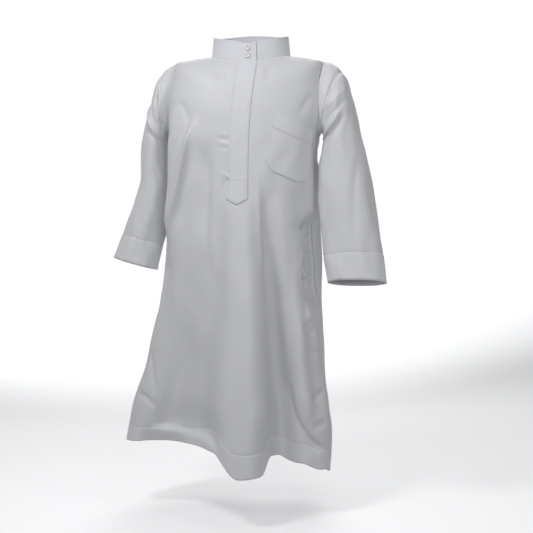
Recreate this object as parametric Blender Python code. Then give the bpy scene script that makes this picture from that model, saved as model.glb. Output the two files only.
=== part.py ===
"""Child's white thobe robe, worn and hollow: ankle-length body, long sleeves, stand collar,
pointed front placket and a patch pocket on the chest.

Frame: metres, +Z up, -Y is the front, +X is the wearer's left. The origin is the middle of
the neck opening at the height of the shoulders, where the wearer carries the robe.
"""

import math
from collections import namedtuple

import bpy
import numpy as np

# Cloth and seams
CLOTH = 0.0014
HEM_CLOTH = 0.0024
COLLAR_CLOTH = 0.0020
PATCH_CLOTH = 0.0012
SEAM_GAP = 0.0003
PATCH_GAP = 0.0005
POCKET_GAP = 0.0009

# Driving sizes of the cut
HEM_DEPTH = 0.040
SLEEVE_HEM_DEPTH = 0.042
PLACKET_WIDTH = 0.0367
PLACKET_TAB_LENGTH = 0.040
PLACKET_POINT = 0.010
PLACKET_TIP_Z = -0.279
COLLAR_HEIGHT = 0.0356
COLLAR_DIP = 0.0030
COLLAR_LEAN = 0.0038
COLLAR_LAP = 0.0172
COLLAR_SINK = 0.0018
POCKET_BAND = 0.027
POCKET_BAND_RISE = 0.0007
BUTTON_RADIUS = 0.0053
BUTTON_THICKNESS = 0.0022
BUTTON_HEIGHTS = {"collar_button_upper": 0.0102, "collar_button_lower": -0.0038}

# Corners of the pocket as x and z on the front, and how far its lower edge is cut below the
# line between the lower corners, at shares of the way across.
POCKET_CORNERS = {
    "in_top": (0.0560, -0.1122),
    "out_top": (0.1200, -0.1440),
    "in_low": (0.0382, -0.1983),
    "out_low": (0.1140, -0.2285),
}
POCKET_CUT = {0.0: 0.0, 0.17: 0.0155, 0.45: 0.0150, 0.72: 0.0165, 0.87: 0.0120, 1.0: 0.0}

# Sections of the body from the neckline down to the hem. Angles run round the body from 0 at
# the centre front to +90 degrees at the wearer's left side and 180 at the centre back.
Ring = namedtuple("Ring", "front_z side_z back_z left centre right front back square")
RINGS = {
    "neckline": Ring(-0.011, 0.000, 0.010, -0.0740, 0.0005, 0.0740, -0.056, 0.050, 2.0),
    "shoulder_in": Ring(-0.026, -0.0015, 0.002, -0.098, 0.000, 0.096, -0.066, 0.061, 2.0),
    "shoulder_out": Ring(-0.043, -0.0045, -0.014, -0.122, -0.001, 0.120, -0.075, 0.072, 2.1),
    "shoulder_tip": Ring(-0.062, -0.0115, -0.034, -0.143, -0.003, 0.141, -0.083, 0.082, 2.2),
    "yoke_line": Ring(-0.084, -0.047, -0.060, -0.150, -0.005, 0.141, -0.090, 0.088, 2.3),
    "chest_high": Ring(-0.108, -0.085, -0.090, -0.152, -0.007, 0.137, -0.096, 0.091, 2.4),
    "chest": Ring(-0.132, -0.122, -0.122, -0.152, -0.008, 0.133, -0.100, 0.091, 2.4),
    "armpit": Ring(-0.157, -0.155, -0.155, -0.151, -0.009, 0.128, -0.103, 0.090, 2.4),
    "ribs": Ring(-0.205, -0.205, -0.205, -0.151, -0.010, 0.123, -0.106, 0.087, 2.3),
    "waist": Ring(-0.275, -0.275, -0.275, -0.153, -0.011, 0.125, -0.108, 0.087, 2.2),
    "belly": Ring(-0.350, -0.350, -0.350, -0.160, -0.011, 0.130, -0.107, 0.093, 2.2),
    "seat": Ring(-0.430, -0.430, -0.430, -0.168, -0.009, 0.133, -0.105, 0.101, 2.1),
    "thigh": Ring(-0.510, -0.510, -0.510, -0.183, -0.007, 0.138, -0.103, 0.107, 2.1),
    "knee": Ring(-0.590, -0.590, -0.590, -0.199, -0.004, 0.143, -0.102, 0.112, 2.0),
    "shin": Ring(-0.665, -0.665, -0.665, -0.219, -0.002, 0.152, -0.102, 0.116, 2.0),
    "hem": Ring(-0.740, -0.740, -0.740, -0.232, 0.000, 0.147, -0.103, 0.119, 2.0),
}
NAMES = list(RINGS)
RING_TABLE = np.array([list(ring) for ring in RINGS.values()])
TIP, ARMPIT, HEM = NAMES.index("shoulder_tip"), NAMES.index("armpit"), NAMES.index("hem")

# How far the hem hangs below its even line, round the body.
HEM_DROPS = {
    -180: 0.014,
    -135: 0.002,
    -90: -0.010,
    -48: -0.013,
    -24: -0.017,
    -12: -0.0155,
    0: 0.0265,
    12: 0.0235,
    18: -0.004,
    24: -0.0005,
    42: 0.015,
    60: 0.029,
    90: 0.0435,
    135: 0.030,
    180: 0.014,
}
HEM_DROP_START = -0.42

# The largest folds of the body. Each runs from its start height to its end height, swinging
# from one angle to the other, and rises where height is positive.
Fold = namedtuple(
    "Fold", "start_z full_z end_z start_angle end_angle left right power height"
)
FOLDS = {
    "centre_cone": Fold(-0.150, -0.740, -0.90, 4, 3, 19, 14, 3.0, 0.074),
    "cone_valley": Fold(-0.330, -0.600, -0.90, 27, 29, 10, 14, 2.0, -0.012),
    "arm_side_fold": Fold(-0.085, -0.170, -0.43, -57, -62, 13, 12, 2.0, 0.013),
    "chest_diagonal": Fold(-0.095, -0.190, -0.36, -40, -62, 8, 6, 2.0, 0.007),
    "left_hollow": Fold(-0.300, -0.640, -0.90, -30, -38, 15, 15, 2.0, -0.015),
    "left_flare": Fold(-0.400, -0.700, -0.90, -72, -78, 14, 14, 2.0, 0.012),
    "right_flare": Fold(-0.420, -0.690, -0.90, 62, 66, 15, 14, 2.0, 0.018),
    "back_left_lobe": Fold(-0.300, -0.740, -0.90, 144, 144, 21, 19, 2.0, 0.026),
    "back_right_lobe": Fold(-0.280, -0.740, -0.90, -148, -147, 19, 21, 2.0, 0.029),
    "back_valley": Fold(-0.330, -0.700, -0.90, 178, 176, 15, 15, 2.0, -0.009),
    "back_arm_fold": Fold(-0.080, -0.170, -0.42, 127, 122, 10, 12, 2.0, 0.008),
}

# Armhole: an oval in angle and level, bottom at the armpit and top at the shoulder tip.
FRONT_REACH = {1: 22.0, -1: 17.0}
BACK_REACH = 28.0
YOKE_FRONT_TURN = 129.0
YOKE_BACK_TURN = 118.0
NECK_SEAM_ANGLE = 60.0

# Sections of the sleeves from the armhole to the cuff: where the top and the underarm run,
# the depth from front to back, and how far the section leans forward.
Section = namedtuple("Section", "top_x top_z under_x under_z mid_y depth lean")
LEFT_SLEEVE = [
    Section(0.1410, -0.0115, 0.1280, -0.155, -0.001, 0.0560, 0),
    Section(0.1530, -0.0150, 0.1300, -0.1485, -0.002, 0.0555, 0),
    Section(0.1650, -0.0230, 0.1335, -0.1455, -0.004, 0.0540, 0),
    Section(0.1760, -0.0360, 0.1365, -0.1480, -0.006, 0.0525, 0),
    Section(0.1850, -0.0540, 0.1375, -0.1560, -0.008, 0.0510, 1),
    Section(0.1925, -0.0790, 0.1365, -0.1680, -0.010, 0.0495, 2),
    Section(0.2000, -0.1100, 0.1335, -0.1840, -0.012, 0.0485, 3),
    Section(0.2085, -0.1470, 0.1290, -0.2050, -0.015, 0.0475, 4),
    Section(0.2185, -0.1880, 0.1275, -0.2330, -0.020, 0.0465, 6),
    Section(0.2290, -0.2370, 0.1290, -0.2690, -0.026, 0.0455, 8),
    Section(0.2380, -0.2890, 0.1330, -0.3080, -0.032, 0.0430, 10),
    Section(0.2460, -0.3360, 0.1375, -0.3460, -0.040, 0.0390, 12),
    Section(0.2520, -0.3800, 0.1420, -0.3840, -0.050, 0.0340, 14),
    Section(0.2570, -0.4220, 0.1505, -0.4220, -0.060, 0.0290, 15),
]
RIGHT_SLEEVE = [
    Section(-0.1430, -0.0115, -0.1510, -0.1550, 0.000, 0.0560, 0),
    Section(-0.1550, -0.0170, -0.1535, -0.1485, 0.001, 0.0560, 0),
    Section(-0.1670, -0.0270, -0.1575, -0.1455, 0.003, 0.0560, 0),
    Section(-0.1780, -0.0430, -0.1605, -0.1480, 0.006, 0.0560, 0),
    Section(-0.1870, -0.0640, -0.1620, -0.1560, 0.009, 0.0560, 0),
    Section(-0.1945, -0.0900, -0.1620, -0.1680, 0.011, 0.0560, 0),
    Section(-0.2030, -0.1200, -0.1610, -0.1850, 0.012, 0.0555, 0),
    Section(-0.2110, -0.1540, -0.1600, -0.2070, 0.013, 0.0550, 0),
    Section(-0.2140, -0.1930, -0.1590, -0.2330, 0.013, 0.0545, 0),
    Section(-0.2155, -0.2320, -0.1580, -0.2620, 0.012, 0.0535, 0),
    Section(-0.2260, -0.2690, -0.1600, -0.2930, 0.010, 0.0520, 1),
    Section(-0.2390, -0.3060, -0.1665, -0.3280, 0.006, 0.0490, 2),
    Section(-0.2510, -0.3420, -0.1735, -0.3640, 0.001, 0.0445, 2),
    Section(-0.2645, -0.3800, -0.1820, -0.4030, -0.005, 0.0390, 2),
]

# Dents and ridges of the sleeves: place along the sleeve from 0 at the armhole to 1 at the
# cuff, place round it in degrees from the top towards the front, and size.
Dent = namedtuple("Dent", "along around length spread height slope")
LEFT_DENTS = [
    Dent(0.16, 62, 0.045, 26, -0.006, -40),
    Dent(0.34, 128, 0.050, 30, 0.006, -50),
    Dent(0.44, 100, 0.060, 24, -0.004, 30),
]
RIGHT_DENTS = [
    Dent(0.20, 70, 0.040, 24, -0.006, 45),
    Dent(0.36, 50, 0.030, 40, -0.006, 60),
    Dent(0.42, 60, 0.035, 45, 0.004, 60),
]

# Grid of each piece
PLACKET_COLUMNS = 2
FRONT_SIDE_COLUMNS = 13
BACK_SIDE_COLUMNS = 11
SKIRT_LEVELS = (15, 14.47, 14, 13.5, 13, 12.5, 12, 11.5, 11, 10.5, 10, 9.5, 9, 8.5, 8, 7.5)
FRONT_TURNS = np.linspace(0, YOKE_FRONT_TURN, 10)
YOKE_TURNS_FRONT = np.linspace(YOKE_FRONT_TURN, 180, 5)
YOKE_TURNS_BACK = np.linspace(180, YOKE_BACK_TURN, 5)
BACK_TURNS = np.linspace(YOKE_BACK_TURN, 0, 9)
YOKE_ROWS = 5
SLEEVE_ROWS = 22


def rows_between(table, level):
    """Rows of a table read smoothly between its own rows, which lie at levels 0, 1, 2 ..."""
    level = np.clip(np.asarray(level, float), 0, len(table) - 1)
    slope = np.gradient(table, axis=0)
    low = np.minimum(level.astype(int), len(table) - 2)
    t = (level - low)[..., None]
    start, end = table[low], table[low + 1]
    hermite = (
        start * (1 + 2 * t) * (1 - t) ** 2
        + slope[low] * t * (1 - t) ** 2
        + end * t**2 * (3 - 2 * t)
        - slope[low + 1] * t**2 * (1 - t)
    )
    return hermite


def smooth_step(value):
    value = np.clip(value, 0, 1)
    return value * value * (3 - 2 * value)


def hem_drop(degrees):
    """How far the hem hangs below its even line at these angles, eased between the table's."""
    angles = np.array(list(HEM_DROPS))
    drops = np.array(list(HEM_DROPS.values()))
    wrapped = (degrees + 180) % 360 - 180
    low = np.clip(np.searchsorted(angles, wrapped, side="right") - 1, 0, len(angles) - 2)
    share = smooth_step((wrapped - angles[low]) / (angles[low + 1] - angles[low]))
    return drops[low] + (drops[low + 1] - drops[low]) * share


def fold_height(degrees, z):
    """Sum of the body's folds at these angles and heights."""
    total = np.zeros_like(z)
    for fold in FOLDS.values():
        reach = (fold.start_z - z) / (fold.start_z - fold.full_z)
        fade = (z - fold.end_z) / (fold.full_z - fold.end_z)
        strength = smooth_step(reach) * smooth_step(1.6 * fade)
        swing = np.clip((fold.start_z - z) / (fold.start_z - max(fold.end_z, -0.74)), 0, 1)
        middle = fold.start_angle + (fold.end_angle - fold.start_angle) * swing
        away = (degrees - middle + 180) % 360 - 180
        spread = np.where(away < 0, fold.left, fold.right) * (0.55 + 0.45 * smooth_step(reach))
        total += fold.height * strength * np.exp(-np.abs(away / spread) ** fold.power)
    return total


def body_point(degrees, level):
    """Points of the body's outer face at these angles and levels, as rows of x, y, z."""
    degrees, level = np.broadcast_arrays(np.asarray(degrees, float), level)
    ring = rows_between(RING_TABLE, level)
    front_z, side_z, back_z, left, centre, right, front, back, square = np.moveaxis(ring, -1, 0)
    sine, cosine = np.sin(np.radians(degrees)), np.cos(np.radians(degrees))
    swell = (np.abs(sine) ** square + np.abs(cosine) ** square) ** (-1 / square)
    half_width = np.where(sine > 0, right - centre, centre - left)
    half_depth = np.where(cosine > 0, -front, back)
    middle_z = np.where(cosine > 0, front_z, back_z)
    z = middle_z + (side_z - middle_z) * sine**2
    out_x, out_y = sine / half_width, -cosine / half_depth
    length = np.hypot(out_x, out_y)
    fold = fold_height(degrees, z)
    x = centre + half_width * sine * swell + fold * out_x / length
    y = -half_depth * cosine * swell + fold * out_y / length
    hang = smooth_step((HEM_DROP_START - z) / (HEM_DROP_START - RINGS["hem"].side_z))
    return np.stack([x, y, z - hem_drop(degrees) * hang], axis=-1)


def body_normal(degrees, level):
    """Outward unit normals of the body's outer face."""
    turn, climb = 0.3, 0.02
    round_it = body_point(degrees + turn, level) - body_point(degrees - turn, level)
    up_it = body_point(degrees, level - climb) - body_point(degrees, level + climb)
    normal = np.cross(round_it, up_it)
    return normal / np.linalg.norm(normal, axis=-1, keepdims=True)


def armhole(turn, side, behind):
    """Angle and level of the armhole at a turn from 0 at the armpit to 180 at the shoulder."""
    turn = np.radians(turn)
    reach = np.sin(turn) * (BACK_REACH if behind else -FRONT_REACH[side])
    middle, half = (ARMPIT + TIP) / 2, (ARMPIT - TIP) / 2
    return side * (90 + reach), middle + half * np.cos(turn)


def edge_angle(level, side):
    """Edge of the front on one side at a level: side seam, then armhole, then shoulder seam."""
    front_join, join_level = armhole(YOKE_FRONT_TURN, side, False)
    middle, half = (ARMPIT + TIP) / 2, (ARMPIT - TIP) / 2
    if level >= ARMPIT:
        return side * 90.0
    if level >= join_level:
        return armhole(math.degrees(math.acos((level - middle) / half)), side, False)[0]
    return side * NECK_SEAM_ANGLE + (front_join - side * NECK_SEAM_ANGLE) * level / join_level


def make_material(name, colour, roughness):
    material = bpy.data.materials.new(name)
    material.use_nodes = True
    shader = material.node_tree.nodes["Principled BSDF"]
    shader.inputs["Base Color"].default_value = (*colour, 1)
    shader.inputs["Roughness"].default_value = roughness
    shader.inputs["Metallic"].default_value = 0.0
    return material


def add_object(name, points, faces, material):
    mesh = bpy.data.meshes.new(name)
    mesh.from_pydata(points.tolist(), [], faces)
    mesh.update()
    mesh.shade_smooth()
    mesh.set_sharp_from_angle(angle=math.radians(50))
    mesh.materials.append(material)
    piece = bpy.data.objects.new(name, mesh)
    bpy.context.scene.collection.objects.link(piece)
    return piece


def grid_faces(rows, columns, tube):
    """Corner numbers of a grid's squares. A tube's last column meets its first."""
    number = np.arange(rows * columns).reshape(rows, columns)
    if tube:
        number = np.concatenate([number, number[:, :1]], axis=1)
    squares = [number[:-1, :-1], number[1:, :-1], number[1:, 1:], number[:-1, 1:]]
    return np.stack(squares, axis=-1).reshape(-1, 4)


def border_edges(faces):
    """Edges that only one face uses, in the order that the face runs along them."""
    edges = [(int(face[i]), int(face[(i + 1) % 4])) for face in faces for i in range(4)]
    known = set(edges)
    return [edge for edge in edges if edge[::-1] not in known]


def draw_back(outer, inner, edges):
    """Draws every border back by half a seam's gap, square to the border along the cloth, so
    that neighbouring pieces stay a gap apart."""
    ahead = dict(edges)
    behind = {b: a for a, b in edges}
    moves = {}
    for vertex, after in ahead.items():
        before = behind[vertex]
        out = outer[vertex] - inner[vertex]
        leaving, arriving = outer[after] - outer[vertex], outer[vertex] - outer[before]
        first, second = np.cross(out, arriving), np.cross(out, leaving)
        first, second = first / np.linalg.norm(first), second / np.linalg.norm(second)
        both = first + second
        moves[vertex] = both / max(both.dot(both) / 2, 0.6) * SEAM_GAP / 2
    for vertex, move in moves.items():
        outer[vertex] += move
        inner[vertex] += move


def wall(name, grids, material, tube=False):
    """A closed wall of cloth between outer and inner grids of points. Rows run down and columns
    towards +X on the front, so that the outer face looks outwards. Grids that meet are joined
    where their points fall together."""
    faces, outer, inner, count = [], [], [], 0
    for out, into in grids:
        faces.append(grid_faces(*out.shape[:2], tube) + count)
        outer.append(out.reshape(-1, 3))
        inner.append(into.reshape(-1, 3))
        count += out.shape[0] * out.shape[1]
    faces, outer, inner = np.concatenate(faces), np.concatenate(outer), np.concatenate(inner)
    kept, place = np.unique(np.round(outer, 6), axis=0, return_index=True, return_inverse=True)[1:]
    faces, outer, inner = place.ravel()[faces], outer[kept], inner[kept]
    edges = border_edges(faces)
    draw_back(outer, inner, edges)
    shift = len(outer)
    closed = [tuple(int(i) for i in face) for face in faces]
    closed += [tuple(int(i) + shift for i in face[::-1]) for face in faces]
    closed += [(b, a, a + shift, b + shift) for a, b in edges]
    return add_object(name, np.concatenate([outer, inner]), closed, material)


def body_grid(angles, levels, hem=False):
    """Outer and inner points of a grid of angles and levels on the body."""
    outer = body_point(angles, levels)
    thick = np.full(levels.shape, CLOTH)
    if hem:
        thick[-2:] = HEM_CLOTH
    return outer, outer - body_normal(angles, levels) * thick[..., None]


def front_levels():
    turns = np.array([armhole(turn, 1, False)[1] for turn in FRONT_TURNS])
    shoulder = np.linspace(turns[-1], 0, 6)[1:]
    return np.concatenate([SKIRT_LEVELS, turns, shoulder])[::-1]


def placket_angle(level, across):
    """Angle at a distance across from the centre front, at a level."""
    ring = rows_between(RING_TABLE, level)
    left, centre, right = ring[..., 3], ring[..., 4], ring[..., 5]
    half_width = np.where(across > 0, right - centre, centre - left)
    return np.degrees(np.arcsin(across / half_width))


def front_sheet():
    """Levels, angles, points and normals of the front's grid."""
    levels = front_levels()
    half = PLACKET_WIDTH / 2
    shares = np.linspace(0, 1, FRONT_SIDE_COLUMNS + 1)[1:]
    steps = np.linspace(0, half, PLACKET_COLUMNS + 1)[1:]
    rows = []
    for level in levels:
        row = [0.0]
        for side in (-1, 1):
            edge = edge_angle(level, side)
            inside = [float(placket_angle(level, side * step)) for step in steps]
            outside = [inside[-1] + (edge - inside[-1]) * share for share in shares]
            row = row + inside + outside if side > 0 else (inside + outside)[::-1] + row
        rows.append(row)
    angles = np.array(rows)
    grid = np.repeat(levels[:, None], angles.shape[1], axis=1)
    return levels, angles, body_point(angles, grid), body_normal(angles, grid)


def on_sheet(sheet, angle, level):
    """Point and normal on the flat faces of a grid, for what is laid on it."""
    levels, angles, points, normals = sheet
    row = int(np.clip(np.searchsorted(levels, level) - 1, 0, len(levels) - 2))
    t = (level - levels[row]) / (levels[row + 1] - levels[row])
    here = angles[row] * (1 - t) + angles[row + 1] * t
    column = int(np.clip(np.searchsorted(here, angle) - 1, 0, len(here) - 2))
    u = (angle - here[column]) / (here[column + 1] - here[column])
    found = []
    for grid in (points, normals):
        upper = grid[row, column] * (1 - u) + grid[row, column + 1] * u
        lower = grid[row + 1, column] * (1 - u) + grid[row + 1, column + 1] * u
        found.append(upper * (1 - t) + lower * t)
    return found[0], found[1] / np.linalg.norm(found[1])


def build_front(sheet, material):
    levels, angles = sheet[:2]
    grid = np.repeat(levels[:, None], angles.shape[1], axis=1)
    wall("front", [body_grid(angles, grid, hem=True)], material)


def back_edge_angle(level):
    if level >= ARMPIT:
        return 90.0
    middle, half = (ARMPIT + TIP) / 2, (ARMPIT - TIP) / 2
    return armhole(math.degrees(math.acos((level - middle) / half)), 1, True)[0]


def back_shares():
    return np.linspace(-1, 1, 2 * BACK_SIDE_COLUMNS + 1)


def yoke_border():
    """Angles and levels round the edge of the shoulders' part, from the wearer's left shoulder
    seam over the armhole, across the back and over the other armhole."""
    ends = []
    for side in (1, -1):
        over_front = [armhole(turn, side, False) for turn in YOKE_TURNS_FRONT]
        over_back = [armhole(turn, side, True) for turn in YOKE_TURNS_BACK[1:]]
        ends.append(np.array(over_front + over_back))
    near, far = ends[0], ends[1][::-1] + [360, 0]
    corner_angle, corner_level = near[-1]
    across = 180 + (180 - corner_angle) * back_shares()[1:-1]
    middle = np.stack([across, np.full(len(across), corner_level)], axis=1)
    return np.concatenate([near, middle, far])


def build_back(material):
    """The back in one piece: its lower grid, and the part that comes over the shoulders to the
    shoulder seams in front."""
    turns = np.array([armhole(turn, 1, True)[1] for turn in BACK_TURNS])
    levels = np.concatenate([turns, SKIRT_LEVELS[::-1]])
    edges = np.array([back_edge_angle(level) for level in levels])
    angles = 180 + (180 - edges)[:, None] * back_shares()[None, :]
    grid = np.repeat(levels[:, None], angles.shape[1], axis=1)
    border = yoke_border()
    shares = np.linspace(0, 1, YOKE_ROWS + 1)[:, None]
    neck = NECK_SEAM_ANGLE + neck_shares(border) * (360 - 2 * NECK_SEAM_ANGLE)
    over = neck[None, :] + (border[:, 0] - neck)[None, :] * shares
    over_levels = border[:, 1][None, :] * shares
    wall("back", [body_grid(over, over_levels), body_grid(angles, grid, hem=True)], material)


def neck_shares(border):
    """Where each column of the yoke meets the neckline, by distance along its outer edge."""
    points = body_point(border[:, 0], border[:, 1])
    run = np.concatenate([[0], np.cumsum(np.linalg.norm(np.diff(points, axis=0), axis=1))])
    return run / run[-1]


def sleeve_border(side):
    """Angles and levels round an armhole from the armpit up the front, over the shoulder and
    down the back, with the turn round the sleeve from 180 under the arm to 0 on top."""
    rows = [(*armhole(turn, side, False), 180 - turn) for turn in FRONT_TURNS]
    rows += [(*armhole(turn, side, False), 180 - turn) for turn in YOKE_TURNS_FRONT[1:]]
    rows += [(*armhole(turn, side, True), turn - 180) for turn in YOKE_TURNS_BACK[1:]]
    rows += [(*armhole(turn, side, True), turn - 180) for turn in BACK_TURNS[1:-1]]
    return np.array(rows)


def dent_height(dents, along, around):
    """Sum of a sleeve's dents. A dent's slope tilts it round the sleeve as it runs along."""
    total = np.zeros(np.broadcast(along, around).shape)
    for dent in dents:
        step = along - dent.along
        away = (around - dent.around - dent.slope * step / dent.length + 180) % 360 - 180
        total += dent.height * np.exp(-((step / dent.length) ** 2) - (away / dent.spread) ** 2)
    return total


def sleeve_rings(sections, border, dents):
    """Points of a sleeve's outer face. Each section is an oval between its top and underarm;
    the first takes the armhole's own outline, which fades out over the next few."""
    table = np.array([list(section) for section in sections])
    along = sleeve_stations()
    top_x, top_z, under_x, under_z, mid_y, depth, lean = np.moveaxis(
        rows_between(table, along * (len(table) - 1)), -1, 0
    )
    top = np.stack([top_x, mid_y, top_z], axis=-1)
    under = np.stack([under_x, mid_y, under_z], axis=-1)
    centre, rise = (top + under) / 2, (top - under) / 2
    lean = np.radians(lean)
    forward = np.stack([0 * lean, -np.cos(lean), np.sin(lean)], axis=-1) * depth[:, None]
    turn = np.radians(border[:, 2])[None, :, None]
    rings = centre[:, None] + rise[:, None] * np.cos(turn) + forward[:, None] * np.sin(turn)
    loop = body_point(border[:, 0], border[:, 1])
    keep = (1 - smooth_step(along / 0.32))[:, None, None]
    rings = rings + keep * (loop - rings[0])[None]
    outward = rings - centre[:, None]
    outward /= np.linalg.norm(outward, axis=-1, keepdims=True)
    dent = dent_height(dents, along[:, None], border[:, 2][None, :])
    return rings + outward * dent[..., None]


def sleeve_stations():
    """Places along a sleeve, closest together at the underarm's tight bend."""
    share = np.linspace(0, 1, SLEEVE_ROWS)
    stations = 0.55 * share + 0.45 * share**1.8
    hem_start = 0.905
    nearest = int(np.argmin(np.abs(stations - hem_start)))
    stations[nearest] = hem_start
    return stations


def build_sleeve(name, side, sections, dents, material):
    border = sleeve_border(side)
    outer = sleeve_rings(sections, border, dents)
    along = np.gradient(outer, axis=0)
    looped = np.concatenate([outer[:, -1:], outer, outer[:, :1]], axis=1)
    around = looped[:, 2:] - looped[:, :-2]
    normal = np.cross(along, around) * side
    normal /= np.linalg.norm(normal, axis=-1, keepdims=True)
    normal[0] = body_normal(border[:, 0], border[:, 1])
    thick = np.where(sleeve_stations() > 0.9, HEM_CLOTH, CLOTH)
    inner = outer - normal * thick[:, None, None]
    if side < 0:
        outer, inner = outer[:, ::-1], inner[:, ::-1]
    return wall(name, [(outer, inner)], material, tube=True)


def collar_angles():
    """Angles round the collar, at the columns of the pieces below, from the outer end at the
    front round the back to the end that lies underneath."""
    edge = float(placket_angle(0.0, COLLAR_LAP))
    half = PLACKET_WIDTH / 2
    step = float(placket_angle(0.0, half / PLACKET_COLUMNS))
    wide = float(placket_angle(0.0, half))
    shares = np.linspace(0, 1, FRONT_SIDE_COLUMNS + 1)
    front_side = wide + (NECK_SEAM_ANGLE - wide) * shares
    border = yoke_border()
    yoke = NECK_SEAM_ANGLE + neck_shares(border) * (360 - 2 * NECK_SEAM_ANGLE)
    return np.concatenate(
        [
            [-edge, -step, 0, step],
            front_side[:-1],
            yoke,
            360 - front_side[::-1][1:],
            [360 - step, 360, 360 + step, 360 + edge],
        ]
    )


def collar_height(angles, across):
    """Height of the band above the neckline: lowest in front, with a dip where it closes."""
    front_share = smooth_step(np.cos(np.radians(angles)))
    back_share = smooth_step(-np.cos(np.radians(angles)))
    dip = COLLAR_DIP * np.exp(-((across / 0.014) ** 2)) * front_share
    return COLLAR_HEIGHT - 0.0020 * front_share - 0.0003 * back_share - dip


def collar_points(angles, share, depth):
    """Points of the band at a share of its height and a depth in from its outer face."""
    level = np.zeros(len(angles))
    base = body_point(angles, level)
    seat = CLOTH * np.linalg.norm(body_normal(angles, level)[:, :2], axis=1)
    under = 1 - smooth_step((angles - 18) / 30)
    inwards = [RINGS["neckline"].centre, 0.0] - base[:, :2]
    inwards /= np.linalg.norm(inwards, axis=1, keepdims=True)
    shift = SEAM_GAP + seat + under * (COLLAR_CLOTH + SEAM_GAP) + COLLAR_LEAN * share + depth
    x, y = (base[:, :2] + inwards * shift[:, None]).T
    height = collar_height(angles, base[:, 0] - RINGS["neckline"].centre)
    return np.stack([x, y, base[:, 2] - COLLAR_SINK + (height + COLLAR_SINK) * share], axis=1)


def build_collar(material):
    """A standing band. The end that starts on the wearer's right runs behind the other."""
    angles = collar_angles()
    shares = (1.0, 0.66, 0.33, 0.0)
    outer = np.array([collar_points(angles, share, 0.0) for share in shares])
    inner = np.array([collar_points(angles, share, COLLAR_CLOTH) for share in shares])
    wall("collar", [(outer, inner)], material)


def level_at(z):
    """Level of the centre front at a height."""
    levels = np.linspace(0, HEM, 800)
    return float(np.interp(-z, -body_point(0.0, levels)[:, 2], levels))


def build_placket(sheet, material):
    """The pointed strip over the front opening, laid on the front's own columns."""
    tab_top = PLACKET_TIP_Z + PLACKET_POINT + PLACKET_TAB_LENGTH
    above = [level for level in sheet[0] if level < level_at(tab_top)]
    lower = [level_at(tab_top), level_at(tab_top - PLACKET_TAB_LENGTH / 2)]
    lower.append(level_at(PLACKET_TIP_Z + PLACKET_POINT))
    levels = np.array([level_at(RINGS["neckline"].front_z - 0.0024)] + above[1:] + lower)
    steps = np.linspace(-1, 1, 2 * PLACKET_COLUMNS + 1) * PLACKET_WIDTH / 2
    grid = np.repeat(levels[:, None], len(steps), axis=1)
    point = level_at(PLACKET_TIP_Z) - grid[-1, 0]
    grid[-1] += point * (1 - np.abs(steps) / (PLACKET_WIDTH / 2))
    angles = placket_angle(grid, np.broadcast_to(steps, grid.shape))
    laid = [on_sheet(sheet, a, v) for a, v in zip(angles.ravel(), grid.ravel())]
    base = np.array([spot[0] for spot in laid]).reshape(*grid.shape, 3)
    normal = np.array([spot[1] for spot in laid]).reshape(*grid.shape, 3)
    thick = np.full(grid.shape, PATCH_CLOTH)
    thick[-3:] += 0.0005
    outer = base + normal * (PATCH_GAP + thick[..., None])
    wall("placket", [(outer, base + normal * PATCH_GAP)], material)


def find_on_sheet(sheet, x, z):
    """Angle and level of the spot of a grid's faces that has this x and z."""
    angle, level, turn, climb = 45.0, 8.0, 0.1, 0.01
    for _ in range(30):
        here = on_sheet(sheet, angle, level)[0]
        by_angle = (on_sheet(sheet, angle + turn, level)[0] - here)[[0, 2]] / turn
        by_level = (on_sheet(sheet, angle, level + climb)[0] - here)[[0, 2]] / climb
        miss = np.array([x, z]) - here[[0, 2]]
        change = np.linalg.solve(np.stack([by_angle, by_level], axis=1), miss)
        angle += float(np.clip(change[0], -8, 8))
        level += float(np.clip(change[1], -0.5, 0.5))
    return angle, level


def build_pocket(sheet, material):
    """The patch pocket: a band folded at its mouth and a lower edge with cut corners."""
    corners = np.array([POCKET_CORNERS[k] for k in ("in_top", "out_top", "in_low", "out_low")])
    shares, drops = np.array(list(POCKET_CUT)), np.array(list(POCKET_CUT.values()))
    columns = np.sort(np.concatenate([shares, [0.31, 0.58]]))
    height = np.linalg.norm(corners[2] - corners[0])
    band = POCKET_BAND / height
    rows = np.concatenate([[0, band / 2, band], np.linspace(band, 1, 7)[1:]])
    outer, inner = [], []
    for number, row in enumerate(rows):
        sink = smooth_step((row - 0.45) / 0.55)
        for column in columns:
            top = corners[0] + (corners[1] - corners[0]) * column
            low = corners[2] + (corners[3] - corners[2]) * column
            x, z = top + (low - top) * row
            z -= sink * float(np.interp(column, shares, drops))
            base, normal = on_sheet(sheet, *find_on_sheet(sheet, x, z))
            thick = PATCH_CLOTH + (POCKET_BAND_RISE if number <= 2 else 0.0)
            outer.append(base + normal * (POCKET_GAP + thick))
            inner.append(base + normal * POCKET_GAP)
    shape = (len(rows), len(columns), 3)
    wall("chest_pocket", [(np.array(outer).reshape(shape), np.array(inner).reshape(shape))], material)


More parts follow.
